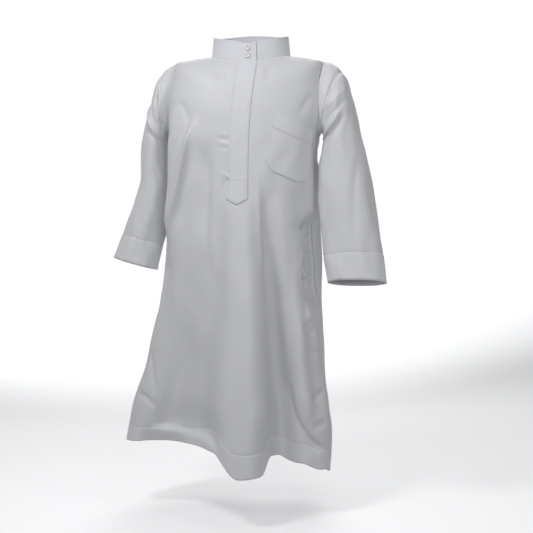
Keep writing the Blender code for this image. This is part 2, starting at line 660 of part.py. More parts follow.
def build_button(name, height, material):
    """A round shirt button with a raised rim, turned about its axis and laid on the collar."""
    radius, thick = BUTTON_RADIUS, BUTTON_THICKNESS
    profile = [
        (0.0, thick * 0.62),
        (radius * 0.55, thick * 0.62),
        (radius * 0.72, thick),
        (radius * 0.90, thick),
        (radius, thick * 0.70),
        (radius, thick * 0.25),
        (radius * 0.85, 0.0),
        (0.0, 0.0),
    ]
    mesh = bpy.data.meshes.new(name)
    edges = [(i, i + 1) for i in range(len(profile) - 1)]
    mesh.from_pydata([(r, 0.0, h) for r, h in profile], edges, [])
    mesh.materials.append(material)
    button = bpy.data.objects.new(name, mesh)
    bpy.context.scene.collection.objects.link(button)
    turned = button.modifiers.new("turned", "SCREW")
    turned.steps = turned.render_steps = 20
    turned.use_merge_vertices = True
    turned.merge_threshold = 0.0001
    turned.use_normal_calculate = True
    foot, top = (collar_points(np.array([359.9]), share, 0.0)[0] for share in (0.0, 1.0))
    lean = (top - foot) / (top[2] - foot[2])
    button.location = foot + lean * (height - foot[2]) - [0, SEAM_GAP, 0]
    button.rotation_euler = (math.pi / 2 - math.atan(lean[1]), 0, 0)


def clear_scene():
    for old in list(bpy.data.objects):
        bpy.data.objects.remove(old)


def main():
    clear_scene()
    cloth = make_material("white_polyester", (0.80, 0.80, 0.83), 0.62)
    trim = make_material("interfaced_cloth", (0.83, 0.83, 0.86), 0.58)
    shell = make_material("button_plastic", (0.86, 0.86, 0.85), 0.30)
    sheet = front_sheet()
    build_front(sheet, cloth)
    build_back(cloth)
    build_sleeve("sleeve_left", 1, LEFT_SLEEVE, LEFT_DENTS, cloth)
    build_sleeve("sleeve_right", -1, RIGHT_SLEEVE, RIGHT_DENTS, cloth)
    build_collar(trim)
    build_placket(sheet, trim)
    build_pocket(sheet, cloth)
    for name, height in BUTTON_HEIGHTS.items():
        build_button(name, height, shell)


main()
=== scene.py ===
# White child's thobe robe: cloth shells with folds, hems, stitching and weave, laid on the frame.
import math

import bpy
import numpy as np
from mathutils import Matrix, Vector


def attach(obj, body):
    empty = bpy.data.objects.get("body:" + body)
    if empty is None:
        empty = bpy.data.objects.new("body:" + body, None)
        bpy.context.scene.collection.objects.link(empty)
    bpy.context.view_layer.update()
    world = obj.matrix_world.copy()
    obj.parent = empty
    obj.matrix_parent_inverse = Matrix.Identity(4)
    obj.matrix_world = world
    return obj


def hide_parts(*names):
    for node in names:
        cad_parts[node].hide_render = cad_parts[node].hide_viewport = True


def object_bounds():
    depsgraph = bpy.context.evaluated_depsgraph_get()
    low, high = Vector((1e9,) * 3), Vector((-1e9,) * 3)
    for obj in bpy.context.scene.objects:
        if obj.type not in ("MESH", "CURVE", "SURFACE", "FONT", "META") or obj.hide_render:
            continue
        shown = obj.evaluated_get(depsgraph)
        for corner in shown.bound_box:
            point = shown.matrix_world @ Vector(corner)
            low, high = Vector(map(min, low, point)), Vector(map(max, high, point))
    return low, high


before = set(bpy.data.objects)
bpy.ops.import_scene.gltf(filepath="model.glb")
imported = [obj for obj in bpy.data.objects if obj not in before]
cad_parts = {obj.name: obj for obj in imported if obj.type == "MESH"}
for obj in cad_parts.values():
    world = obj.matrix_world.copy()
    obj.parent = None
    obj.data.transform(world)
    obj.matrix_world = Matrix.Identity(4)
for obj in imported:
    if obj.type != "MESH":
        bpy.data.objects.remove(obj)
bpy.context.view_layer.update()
print("frame loaded")

# lengths are in metres; the front faces -Y and the robe's left, as worn, is +X
# rings of the body: front z, side z, back z, left x, centre x, right x, front y, back y, squareness
bodyRings = np.array([
    (-0.011, 0.000, 0.010, -0.0740, 0.0005, 0.0740, -0.056, 0.050, 2.0),
    (-0.026, -0.0015, 0.002, -0.098, 0.000, 0.096, -0.066, 0.061, 2.0),
    (-0.043, -0.0045, -0.014, -0.122, -0.001, 0.120, -0.075, 0.072, 2.1),
    (-0.062, -0.0115, -0.034, -0.143, -0.003, 0.136, -0.083, 0.082, 2.2),
    (-0.084, -0.047, -0.060, -0.150, -0.005, 0.137, -0.090, 0.088, 2.3),
    (-0.108, -0.085, -0.090, -0.152, -0.007, 0.135, -0.096, 0.091, 2.4),
    (-0.132, -0.122, -0.122, -0.152, -0.008, 0.133, -0.100, 0.091, 2.4),
    (-0.157, -0.155, -0.155, -0.151, -0.009, 0.128, -0.103, 0.090, 2.4),
    (-0.205, -0.205, -0.205, -0.151, -0.010, 0.123, -0.106, 0.087, 2.3),
    (-0.275, -0.275, -0.275, -0.153, -0.011, 0.125, -0.108, 0.087, 2.2),
    (-0.350, -0.350, -0.350, -0.160, -0.011, 0.130, -0.107, 0.093, 2.2),
    (-0.430, -0.430, -0.430, -0.168, -0.009, 0.133, -0.105, 0.101, 2.1),
    (-0.510, -0.510, -0.510, -0.183, -0.007, 0.138, -0.103, 0.107, 2.1),
    (-0.590, -0.590, -0.590, -0.199, -0.004, 0.143, -0.102, 0.112, 2.0),
    (-0.665, -0.665, -0.665, -0.219, -0.002, 0.152, -0.102, 0.116, 2.0),
    (-0.740, -0.740, -0.740, -0.232, 0.000, 0.147, -0.103, 0.119, 2.0),
])
tipLevel, armpitLevel, hemLevel = 3, 7, 15  # rings at the shoulder's tip, the armpit and the hem

# angle round the body, how far the hem hangs below its even line
hemDrops = np.array([
    (-180, 0.014), (-135, 0.002), (-90, -0.010), (-48, -0.013), (-24, -0.017), (-12, -0.0155),
    (0, 0.0265), (12, 0.0235), (18, -0.004), (24, -0.0005), (42, 0.015), (60, 0.029),
    (90, 0.0435), (135, 0.030), (180, 0.014),
])
# angle round the body, depth of the turned hem
hemDepths = np.array([
    (-180, 0.038), (-110, 0.034), (-75, 0.028), (-35, 0.028), (-15, 0.036), (0, 0.044),
    (14, 0.042), (24, 0.037), (60, 0.036), (90, 0.034), (130, 0.038), (180, 0.038),
])
# start z, full z, end z, start angle, end angle, left and right spread, power, height
bodyFolds = [
    (-0.150, -0.740, -0.90, 4, 3, 19, 14, 3.0, 0.074),  # big fold down the centre front
    (-0.330, -0.600, -0.90, 27, 29, 10, 14, 2.0, -0.012),
    (-0.085, -0.170, -0.43, -57, -62, 13, 12, 2.0, 0.013),
    (-0.095, -0.190, -0.36, -40, -62, 8, 6, 2.0, 0.007),
    (-0.300, -0.640, -0.90, -30, -38, 15, 15, 2.0, -0.015),
    (-0.400, -0.700, -0.90, -72, -78, 14, 14, 2.0, 0.012),
    (-0.420, -0.690, -0.90, 62, 66, 15, 14, 2.0, 0.018),
    (-0.300, -0.740, -0.90, 144, 144, 21, 19, 2.0, 0.026),
    (-0.280, -0.740, -0.90, -148, -147, 19, 21, 2.0, 0.029),
    (-0.330, -0.700, -0.90, 178, 176, 15, 15, 2.0, -0.009),
    (-0.080, -0.170, -0.42, 127, 122, 10, 12, 2.0, 0.008),
    (-0.400, -0.690, -0.90, -40, -46, 13, 13, 2.0, -0.020),
    (-0.220, -0.540, -0.84, 24, 29, 8, 10, 2.0, -0.014),
    (-0.300, -0.560, -0.90, 46, 45, 9, 9, 2.0, 0.007),
]
armholes = {
    "leftFrontReach": 25.0,
    "rightFrontReach": 17.0,
    "backReach": 28.0,
    "frontTurn": 129.0,
    "backTurn": 118.0,
    "neckAngle": 60.0,
    "middle": (armpitLevel + tipLevel) / 2,
    "half": (armpitLevel - tipLevel) / 2,
}
drape = {
    "evenHem": -0.74,
    "foldStart": 0.55,  # width of a fold where it starts, as a share of its full spread
    "foldFade": 1.6,
    "dropStart": -0.42,
    "dropRun": 0.32,
    "frontEnd": 98,  # degrees from the centre front at which the creases of the front are gone
    "frontFade": 14,
    "sideMetresPerDegree": 0.0025,
    "waveMetresPerDegree": 0.0022,
    "waveStart": -0.09,
    "waveRun": 0.10,
}


def smooth(value):  # 0 below 0, 1 above 1 and an S curve between
    value = np.clip(value, 0, 1)
    return value * value * (3 - 2 * value)


def between(table, level):  # rows of a table blended by cubic curves through its own rows
    level = np.clip(level, 0, len(table) - 1)
    slope = np.gradient(table, axis=0)
    low = np.minimum(level.astype(int), len(table) - 2)
    t = (level - low)[..., None]
    return (table[low] * (1 + 2 * t) * (1 - t) ** 2 + slope[low] * t * (1 - t) ** 2
            + table[low + 1] * t ** 2 * (3 - 2 * t) - slope[low + 1] * t ** 2 * (1 - t))


def eased(table, angle):  # value at an angle, eased from each row of the table to the next
    angle = (angle + 180) % 360 - 180
    low = np.clip(np.searchsorted(table[:, 0], angle, side="right") - 1, 0, len(table) - 2)
    share = smooth((angle - table[low, 0]) / (table[low + 1, 0] - table[low, 0]))
    return table[low, 1] + (table[low + 1, 1] - table[low, 1]) * share


def foldHeight(angle, z):  # sum of bell curves across the angle, each fading in and out with z
    total = np.zeros_like(z)
    for startZ, fullZ, endZ, startA, endA, left, right, power, height in bodyFolds:
        reach = (startZ - z) / (startZ - fullZ)
        fade = (z - endZ) / (fullZ - endZ)
        swing = np.clip((startZ - z) / (startZ - max(endZ, drape["evenHem"])), 0, 1)
        away = (angle - startA - (endA - startA) * swing + 180) % 360 - 180
        spread = np.where(away < 0, left, right) * (
            drape["foldStart"] + (1 - drape["foldStart"]) * smooth(reach))
        fade = smooth(reach) * smooth(drape["foldFade"] * fade)
        total += height * fade * np.exp(-np.abs(away / spread) ** power)
    return total


def bodyPoint(angle, level):  # a rounded oval at each level, raised by the folds
    angle, level = np.broadcast_arrays(np.asarray(angle, float), np.asarray(level, float))
    frontZ, sideZ, backZ, left, centre, right, front, back, square = np.moveaxis(
        between(bodyRings, level), -1, 0)
    sine, cosine = np.sin(np.radians(angle)), np.cos(np.radians(angle))
    swell = (np.abs(sine) ** square + np.abs(cosine) ** square) ** (-1 / square)
    halfWidth = np.where(sine > 0, right - centre, centre - left)
    halfDepth = np.where(cosine > 0, -front, back)
    middleZ = np.where(cosine > 0, frontZ, backZ)
    z = middleZ + (sideZ - middleZ) * sine ** 2
    outX, outY = sine / halfWidth, -cosine / halfDepth
    fold = foldHeight(angle, z) / np.hypot(outX, outY)
    hang = smooth((drape["dropStart"] - z) / drape["dropRun"])
    return np.stack([centre + halfWidth * sine * swell + fold * outX,
                     -halfDepth * cosine * swell + fold * outY,
                     z - eased(hemDrops, angle) * hang], axis=-1)


def bodyNormal(angle, level):  # square to two short steps on the body
    around = bodyPoint(angle + 0.3, level) - bodyPoint(angle - 0.3, level)
    upward = bodyPoint(angle, level - 0.02) - bodyPoint(angle, level + 0.02)
    normal = np.cross(around, upward)
    return normal / np.linalg.norm(normal, axis=-1, keepdims=True)


def armholeAt(turn, side, behind):  # an oval in angle and level, 0 at the armpit, 180 on top
    turn = np.radians(turn)
    front = armholes["leftFrontReach"] if side > 0 else armholes["rightFrontReach"]
    reach = np.sin(turn) * (armholes["backReach"] if behind else -front)
    return side * (90 + reach), armholes["middle"] + armholes["half"] * np.cos(turn)


def armholeAngle(level, side, behind):  # degrees from the centre front to the armhole at a level
    turn = np.degrees(np.arccos(np.clip((level - armholes["middle"]) / armholes["half"], -1, 1)))
    return armholeAt(turn, side, behind)[0] * side


def frontEdge(level, side):  # side seam, then armhole, then shoulder seam, as an angle
    joinAngle, joinLevel = armholeAt(armholes["frontTurn"], side, False)
    neck = armholes["neckAngle"]
    seam = neck + (joinAngle * side - neck) * level / joinLevel
    return np.where(level >= joinLevel, armholeAngle(level, side, False), seam)


# section of each sleeve from the armhole to the cuff: top x, top z, underarm x, underarm z,
# middle y, half depth, lean in degrees
sleeveSections = {
    1: np.array([
        (0.1360, -0.0115, 0.1280, -0.1550, -0.001, 0.0560, 0),
        (0.1510, -0.0145, 0.1300, -0.1485, -0.002, 0.0555, 0),
        (0.1650, -0.0230, 0.1335, -0.1455, -0.004, 0.0540, 0),
        (0.1760, -0.0360, 0.1365, -0.1480, -0.006, 0.0525, 0),
        (0.1850, -0.0540, 0.1375, -0.1560, -0.008, 0.0510, 1),
        (0.1925, -0.0790, 0.1365, -0.1680, -0.010, 0.0495, 2),
        (0.2000, -0.1100, 0.1335, -0.1840, -0.012, 0.0485, 3),
        (0.2085, -0.1470, 0.1290, -0.2050, -0.015, 0.0475, 4),
        (0.2185, -0.1880, 0.1275, -0.2330, -0.020, 0.0465, 6),
        (0.2290, -0.2370, 0.1290, -0.2690, -0.026, 0.0455, 8),
        (0.2380, -0.2890, 0.1330, -0.3080, -0.032, 0.0430, 10),
        (0.2460, -0.3360, 0.1375, -0.3460, -0.040, 0.0390, 12),
        (0.2520, -0.3800, 0.1420, -0.3840, -0.050, 0.0340, 14),
        (0.2570, -0.4220, 0.1505, -0.4220, -0.060, 0.0290, 15),
    ]),
    -1: np.array([
        (-0.1430, -0.0115, -0.1510, -0.1550, 0.000, 0.0560, 0),
        (-0.1550, -0.0170, -0.1535, -0.1485, 0.001, 0.0560, 0),
        (-0.1670, -0.0270, -0.1575, -0.1455, 0.003, 0.0560, 0),
        (-0.1780, -0.0430, -0.1605, -0.1480, 0.006, 0.0560, 0),
        (-0.1870, -0.0640, -0.1620, -0.1560, 0.009, 0.0560, 0),
        (-0.1945, -0.0900, -0.1620, -0.1680, 0.011, 0.0560, 0),
        (-0.2030, -0.1200, -0.1610, -0.1850, 0.012, 0.0555, 0),
        (-0.2110, -0.1540, -0.1600, -0.2070, 0.013, 0.0550, 0),
        (-0.2140, -0.1930, -0.1590, -0.2330, 0.013, 0.0545, 0),
        (-0.2155, -0.2320, -0.1580, -0.2620, 0.012, 0.0535, 0),
        (-0.2260, -0.2690, -0.1600, -0.2930, 0.010, 0.0520, 1),
        (-0.2390, -0.3060, -0.1665, -0.3280, 0.006, 0.0490, 2),
        (-0.2510, -0.3420, -0.1735, -0.3640, 0.001, 0.0445, 2),
        (-0.2645, -0.3800, -0.1820, -0.4030, -0.005, 0.0390, 2),
    ]),
}
# along from 0 at the armhole to 1 at the cuff, degrees from the top towards the front, length,
# spread in degrees, height, slope in degrees over the length
sleeveDents = {
    1: [
        (0.16, 62, 0.045, 26, -0.006, -40),
        (0.34, 128, 0.050, 30, 0.006, -50),
        (0.44, 100, 0.060, 24, -0.004, 30),
    ],
    -1: [
        (0.20, 70, 0.040, 24, -0.006, 45),
        (0.36, 50, 0.030, 40, -0.006, 60),
        (0.42, 60, 0.035, 45, 0.004, 60),
    ],
}

# creases: a path, its width to the left and to the right of a path that runs down, the power of
# its fall, its height, and the shares of its length over which it fades in and out
frontCreases = [
    # long bright ridge from the right chest to the side
    ([(-0.0904, -0.1121), (-0.0995, -0.1472), (-0.1133, -0.1925), (-0.1252, -0.2393), (-0.1399, -0.2932),
      (-0.1467, -0.3254), (-0.153, -0.36)], 0.007, 0.0105, 1.4, 0.017, 0.25, 0.45),
    ([(-0.0807, -0.1506), (-0.0746, -0.1969), (-0.0722, -0.2427), (-0.0741, -0.2977), (-0.0802, -0.3613)],
     0.015, 0.013, 2.0, -0.012, 0.3, 0.4),
    ([(-0.0566, -0.23), (-0.0587, -0.3064), (-0.0555, -0.36), (-0.0487, -0.4336)],
     0.008, 0.009, 2.0, 0.0035, 0.3, 0.4),
    # edge of the centre fold and the dark hollow beside it
    ([(0.0247, -0.19), (0.029, -0.3002), (0.0295, -0.4203), (0.0323, -0.5058), (0.0374, -0.5974),
      (0.0407, -0.6589), (0.0448, -0.7111)], 0.018, 0.004, 1.4, 0.009, 0.3, 0.12),
    ([(0.0409, -0.22), (0.0438, -0.34), (0.046, -0.4213), (0.051, -0.5096), (0.057, -0.6033),
      (0.069, -0.6768)], 0.008, 0.02, 2.0, -0.011, 0.4, 0.2),
    # hollow that curves to the hem on the left, and the lobe above it
    ([(0.08, -0.59), (0.0826, -0.636), (0.0948, -0.6748), (0.1116, -0.6988), (0.1283, -0.7192),
      (0.1495, -0.735)], 0.011, 0.004, 1.4, -0.0095, 0.25, 0.15),
    ([(0.095, -0.43), (0.0986, -0.5085), (0.1048, -0.6004), (0.1139, -0.6549), (0.1317, -0.6935)],
     0.012, 0.013, 2.0, 0.0085, 0.4, 0.25),
    # short pulls at the left side
    ([(0.113, -0.549), (0.123, -0.5475), (0.14, -0.552)], 0.003, 0.003, 1.6, -0.005, 0.25, 0.15),
    ([(0.1207, -0.6384), (0.13, -0.629), (0.1445, -0.6229)], 0.0045, 0.0035, 1.6, -0.006, 0.25, 0.15),
    ([(0.123, -0.689), (0.134, -0.685), (0.1491, -0.6795)], 0.0045, 0.0045, 1.8, -0.0035, 0.25, 0.15),
    # short pulls at the right side
    ([(-0.215, -0.636), (-0.1937, -0.6449), (-0.174, -0.664)], 0.004, 0.0035, 1.5, -0.006, 0.12, 0.35),
    ([(-0.19, -0.694), (-0.13, -0.6985), (-0.075, -0.701), (-0.03, -0.725)],
     0.005, 0.04, 1.8, -0.015, 0.2, 0.3),
    ([(-0.215, -0.73), (-0.16, -0.735), (-0.1, -0.737)], 0.02, 0.024, 2.0, -0.009, 0.15, 0.35),
    ([(-0.189, -0.545), (-0.1795, -0.6094), (-0.172, -0.64)], 0.005, 0.004, 1.6, -0.004, 0.3, 0.3),
    ([(-0.0149, -0.515), (-0.016, -0.59), (-0.0145, -0.665)], 0.0035, 0.0035, 1.8, -0.0012, 0.3, 0.3),
    # pulls beside the placket
    ([(-0.05, -0.149), (-0.036, -0.152), (-0.025, -0.1549)], 0.0022, 0.0022, 1.8, 0.0016, 0.5, 0.15),
    ([(-0.052, -0.156), (-0.038, -0.159), (-0.025, -0.161)], 0.0022, 0.0022, 1.8, -0.0016, 0.5, 0.15),
    ([(-0.0534, -0.165), (-0.04, -0.168), (-0.025, -0.169)], 0.0022, 0.0022, 1.8, 0.0014, 0.5, 0.15),
    ([(-0.0498, -0.1747), (-0.038, -0.176), (-0.025, -0.1761)], 0.0024, 0.0024, 1.8, -0.0014, 0.5, 0.15),
    ([(-0.048, -0.218), (-0.037, -0.224), (-0.024, -0.2295)], 0.0028, 0.0028, 1.8, 0.0018, 0.5, 0.1),
    ([(-0.042, -0.26), (-0.037, -0.243), (-0.025, -0.233)], 0.003, 0.003, 1.8, -0.0022, 0.5, 0.1),
    ([(-0.034, -0.031), (-0.0345, -0.04), (-0.029, -0.056)], 0.003, 0.003, 1.8, -0.002, 0.3, 0.4),
    ([(-0.026, -0.03), (-0.027, -0.042)], 0.0022, 0.0022, 1.8, 0.0012, 0.3, 0.4),
    ([(0.032, -0.024), (0.029, -0.033), (0.0253, -0.0424)], 0.003, 0.0025, 1.8, 0.0018, 0.2, 0.35),
    ([(0.027, -0.042), (0.025, -0.052)], 0.0022, 0.0022, 1.8, -0.0016, 0.3, 0.4),
    ([(0.048, -0.023), (0.04, -0.042), (0.038, -0.065)], 0.005, 0.006, 1.7, -0.002, 0.25, 0.5),
    ([(-0.056, -0.022), (-0.052, -0.04), (-0.056, -0.064)], 0.006, 0.005, 1.7, -0.0022, 0.25, 0.5),
    ([(0.123, -0.07), (0.106, -0.098), (0.094, -0.125)], 0.006, 0.007, 1.7, -0.0022, 0.2, 0.5),
    ([(-0.126, -0.085), (-0.112, -0.106), (-0.103, -0.14)], 0.007, 0.006, 1.7, -0.0024, 0.2, 0.5),
    # soft bands under the pocket
    ([(0.0688, -0.2512), (0.0672, -0.3419), (0.0719, -0.4534)], 0.012, 0.012, 2.0, 0.003, 0.3, 0.3),
    ([(0.095, -0.24), (0.0985, -0.3), (0.1, -0.35)], 0.01, 0.01, 2.0, -0.003, 0.3, 0.3),
    # the cloth stands away from the body along the armholes
    ([(0.133, -0.042), (0.132, -0.07), (0.131, -0.11), (0.129, -0.15)],
     0.024, 0.02, 2.0, 0.0042, 0.35, 0.3),
    ([(-0.138, -0.042), (-0.14, -0.07), (-0.142, -0.11), (-0.14, -0.15)],
     0.02, 0.024, 2.0, 0.0042, 0.35, 0.3),
    # the pocket in the side seam: its lip, the hollow of its opening, the crumpled bag behind it
    ([(0.104, -0.305), (0.1052, -0.3431), (0.1034, -0.3987), (0.1034, -0.453), (0.1071, -0.495)],
     0.003, 0.0045, 1.6, 0.0018, 0.2, 0.25),
    ([(0.124, -0.29), (0.127, -0.35), (0.128, -0.42), (0.127, -0.5)],
     0.019, 0.011, 2.4, -0.021, 0.15, 0.35),
    ([(0.107, -0.31), (0.115, -0.319), (0.127, -0.32)], 0.003, 0.004, 1.6, -0.007, 0.25, 0.3),
    ([(0.1085, -0.316), (0.1075, -0.342), (0.1095, -0.36), (0.1085, -0.378)],
     0.0036, 0.0046, 2.6, -0.019, 0.2, 0.2),
    ([(0.118, -0.324), (0.1175, -0.345), (0.12, -0.364)], 0.003, 0.0036, 2.4, -0.013, 0.25, 0.25),
    ([(0.127, -0.33), (0.1265, -0.35), (0.128, -0.372)], 0.003, 0.003, 1.6, -0.0055, 0.25, 0.25),
    ([(0.128, -0.376), (0.118, -0.38), (0.109, -0.378)], 0.004, 0.003, 1.6, 0.0045, 0.3, 0.3),
    ([(0.108, -0.385), (0.111, -0.401), (0.118, -0.415), (0.124, -0.44)],
     0.004, 0.0048, 2.6, -0.02, 0.2, 0.3),
    ([(0.124, -0.39), (0.117, -0.402), (0.109, -0.413), (0.106, -0.428)],
     0.003, 0.0035, 2.0, -0.012, 0.25, 0.25),
    ([(0.129, -0.405), (0.122, -0.415), (0.118, -0.43)], 0.003, 0.003, 1.6, 0.004, 0.25, 0.3),
    ([(0.123, -0.435), (0.115, -0.445), (0.1085, -0.452)], 0.003, 0.003, 1.6, -0.0045, 0.3, 0.3),
    ([(0.112, -0.45), (0.115, -0.475), (0.116, -0.498)], 0.006, 0.007, 2.0, 0.005, 0.25, 0.25),
    ([(0.106, -0.496), (0.11, -0.51), (0.116, -0.515), (0.1264, -0.508)],
     0.0028, 0.0038, 1.6, -0.0045, 0.25, 0.3),
]
backCreases = [
    # long soft folds that hang from the shoulders
    ([(0.095, -0.13), (0.085, -0.22), (0.09, -0.35), (0.1, -0.5), (0.105, -0.74)],
     0.012, 0.016, 1.8, 0.0065, 0.2, 0.1),
    ([(0.06, -0.16), (0.055, -0.3), (0.06, -0.45), (0.062, -0.74)], 0.014, 0.012, 2.0, -0.0065, 0.25, 0.1),
    ([(0.02, -0.24), (0.015, -0.4), (0.012, -0.6), (0.016, -0.76)], 0.009, 0.014, 1.6, 0.0055, 0.35, 0.1),
    ([(-0.03, -0.2), (-0.035, -0.4), (-0.03, -0.6), (-0.024, -0.76)], 0.014, 0.01, 2.0, -0.006, 0.3, 0.1),
    ([(-0.12, -0.15), (-0.1, -0.25), (-0.09, -0.42), (-0.1, -0.62), (-0.112, -0.74)],
     0.008, 0.012, 1.5, 0.0065, 0.2, 0.1),
    ([(-0.15, -0.42), (-0.155, -0.56), (-0.165, -0.74)], 0.012, 0.01, 2.0, -0.006, 0.35, 0.1),
    # pulls from the armholes and across the shoulders
    ([(0.128, -0.165), (0.1, -0.19), (0.07, -0.24)], 0.005, 0.006, 1.6, -0.0045, 0.15, 0.45),
    ([(0.13, -0.195), (0.105, -0.225), (0.085, -0.275)], 0.0045, 0.006, 1.6, 0.0035, 0.2, 0.45),
    ([(-0.138, -0.17), (-0.112, -0.2), (-0.085, -0.255)], 0.006, 0.005, 1.6, -0.0045, 0.15, 0.45),
    ([(-0.07, -0.078), (0.000, -0.09), (0.065, -0.08)], 0.008, 0.008, 2.0, -0.002, 0.35, 0.35),
    ([(0.055, -0.64), (0.07, -0.7), (0.095, -0.742)], 0.006, 0.004, 1.5, -0.0055, 0.3, 0.15),
    ([(-0.06, -0.6), (-0.075, -0.68), (-0.1, -0.735)], 0.004, 0.006, 1.5, -0.005, 0.3, 0.15),
]
# creases by metres round the body and height, with the side seams at 0.225 and -0.225
sideCreases = [
    # the shoulders slope to the sleeve heads
    ([(0.165, -0.006), (0.225, -0.006), (0.285, -0.006)], 0.0045, 0.0045, 2.4, -0.0036, 0.3, 0.3),
    ([(-0.285, -0.006), (-0.225, -0.006), (-0.165, -0.006)], 0.0045, 0.0045, 2.4, -0.003, 0.3, 0.3),
    ([(0.212, -0.165), (0.204, -0.22), (0.2, -0.27)], 0.006, 0.006, 1.7, -0.0045, 0.15, 0.45),
    ([(0.238, -0.175), (0.25, -0.3), (0.262, -0.48)], 0.009, 0.013, 1.8, 0.005, 0.2, 0.35),
    ([(0.262, -0.52), (0.255, -0.64), (0.25, -0.79)], 0.011, 0.009, 1.8, -0.006, 0.3, 0.1),
    ([(-0.212, -0.165), (-0.202, -0.24), (-0.194, -0.32)], 0.006, 0.006, 1.7, -0.0045, 0.15, 0.45),
    ([(-0.24, -0.18), (-0.25, -0.35), (-0.262, -0.52)], 0.01, 0.01, 1.8, 0.0055, 0.2, 0.35),
    ([(-0.228, -0.43), (-0.24, -0.6), (-0.246, -0.74)], 0.01, 0.009, 1.8, -0.006, 0.35, 0.1),
]


def smoothPath(path, steps=5):  # a curve through the points of a path, by rows between them
    path = np.array(path, float)
    return between(path, np.linspace(0, len(path) - 1, steps * (len(path) - 1) + 1))


def creaseHeight(u, v, table):
    # height falls away on both sides of a path as exp(-(distance / width) ^ power)
    total = np.zeros_like(u)
    for path, left, right, power, height, fadeIn, fadeOut in table:
        path = smoothPath(path)
        reach = 3.2 * max(left, right)
        low, high = path.min(axis=0) - reach, path.max(axis=0) + reach
        inside = (u > low[0]) & (u < high[0]) & (v > low[1]) & (v < high[1])
        if not inside.any():
            continue
        pu, pv = u[inside], v[inside]
        step = np.diff(path, axis=0)
        size = np.hypot(step[:, 0], step[:, 1])
        step /= size[:, None]
        ru, rv = pu[:, None] - path[None, :-1, 0], pv[:, None] - path[None, :-1, 1]
        t = np.clip(ru * step[:, 0] + rv * step[:, 1], 0, size)
        gap = np.hypot(ru - t * step[:, 0], rv - t * step[:, 1])
        near = gap.argmin(axis=1)
        rows = np.arange(len(near))
        start = np.cumsum(size) - size
        share = (start[near] + t[rows, near]) / size.sum()
        side = (ru * step[:, 1] - rv * step[:, 0])[rows, near]
        width = np.where(side > 0, left, right)
        strength = smooth(share / fadeIn) * smooth((1 - share) / fadeOut)
        total[inside] += height * strength * np.exp(-(gap[rows, near] / width) ** power)
    return total


def waves(u, v, table):  # faint unevenness: sines of several lengths, directions and phases
    total = np.zeros_like(u)
    for length, turn, height, phase in table:
        du, dv = math.cos(math.radians(turn)), math.sin(math.radians(turn))
        bend = 0.9 * np.sin(2 * math.pi * (v * du - u * dv) / (length * 2.3) + phase * 1.7)
        total += height * np.sin(2 * math.pi * (u * du + v * dv) / length + phase + bend)
    return total


# length, direction in degrees, height and phase of each wave
bodyWaves = [(0.060, 8, 0.0006, 0.4), (0.037, 162, 0.00035, 2.1), (0.095, 20, 0.0009, 4.0)]
sleeveWaves = [(0.050, 70, 0.0007, 1.4), (0.031, 110, 0.0004, 3.1)]


def bodySurface(angle, level):  # the body with its creases, and its outward normal
    angle, level = np.broadcast_arrays(np.asarray(angle, float), np.asarray(level, float))
    base, normal = bodyPoint(angle, level), bodyNormal(angle, level)
    x, z = base[..., 0], base[..., 2]
    turned = (angle + 180) % 360 - 180
    frontness = smooth((drape["frontEnd"] - np.abs(turned)) / drape["frontFade"])
    height = creaseHeight(x, z, frontCreases) * frontness
    height += creaseHeight(x, z, backCreases) * (1 - frontness)
    height += creaseHeight(turned * drape["sideMetresPerDegree"], z, sideCreases)
    fade = smooth((drape["waveStart"] - z) / drape["waveRun"])
    height += waves(turned * drape["waveMetresPerDegree"], z, bodyWaves) * fade
    return base + normal * height[..., None], normal


# grids and shells
def lengths(points, axis):  # distance along a grid's rows or columns, from its first point
    step = np.linalg.norm(np.diff(points, axis=axis), axis=-1)
    start = np.zeros_like(np.take(step, [0], axis=axis))
    return np.cumsum(np.concatenate([start, step], axis=axis), axis=axis)


def tubeNormals(points):  # square to the rows and columns of a grid that closes on itself
    looped = np.concatenate([points[:, -1:], points, points[:, :1]], axis=1)
    normal = np.cross(np.gradient(points, axis=0), looped[:, 2:] - looped[:, :-2])
    return normal / np.maximum(np.linalg.norm(normal, axis=-1, keepdims=True), 1e-12)


def makePiece(name, grids, material, node, around=False):
    # joins grids into one mesh; a grid is points by row and column, a map of cloth and stitches
    # (along, down, along the stitches, distance from them), and whether it looks the other way
    points, faces, corners, count = [], [], [], 0
    for grid, cloth4, flipped in grids:
        rows, columns = grid.shape[:2]
        number = np.arange(rows * columns).reshape(rows, columns) + count
        if around:
            number = np.concatenate([number, number[:, :1]], axis=1)
        order = [(0, 0), (1, 0), (1, 1), (0, 1)][::-1 if flipped else 1]
        down, across = number.shape[0] - 1, number.shape[1] - 1
        faces.append(np.stack([number[r:r + down, c:c + across] for r, c in order], -1).reshape(-1, 4))
        corners.append(np.stack([cloth4[r:r + down, c:c + across] for r, c in order], 2).reshape(-1, 4))
        points.append(grid.reshape(-1, 3))
        count += rows * columns
    points, faces, corners = map(np.concatenate, (points, faces, corners))
    kept, place = np.unique(np.round(points, 7), axis=0, return_index=True, return_inverse=True)[1:]
    points, faces = points[kept], place.ravel()[faces]
    mesh = bpy.data.meshes.new(name)
    mesh.from_pydata(points.tolist(), [], faces.tolist())
    mesh.uv_layers.new(name="clothMap").data.foreach_set("uv", corners[:, :2].ravel())
    mesh.uv_layers.new(name="stitchMap").data.foreach_set("uv", corners[:, 2:].ravel())
    mesh.polygons.foreach_set("use_smooth", np.ones(len(faces), bool))
    mesh.materials.append(material)
    mesh.update()
    piece = bpy.data.objects.new(name, mesh)
    bpy.context.scene.collection.objects.link(piece)
    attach(piece, "root")
    if node:
        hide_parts(node)
    print(name, len(faces), "faces")
    return piece


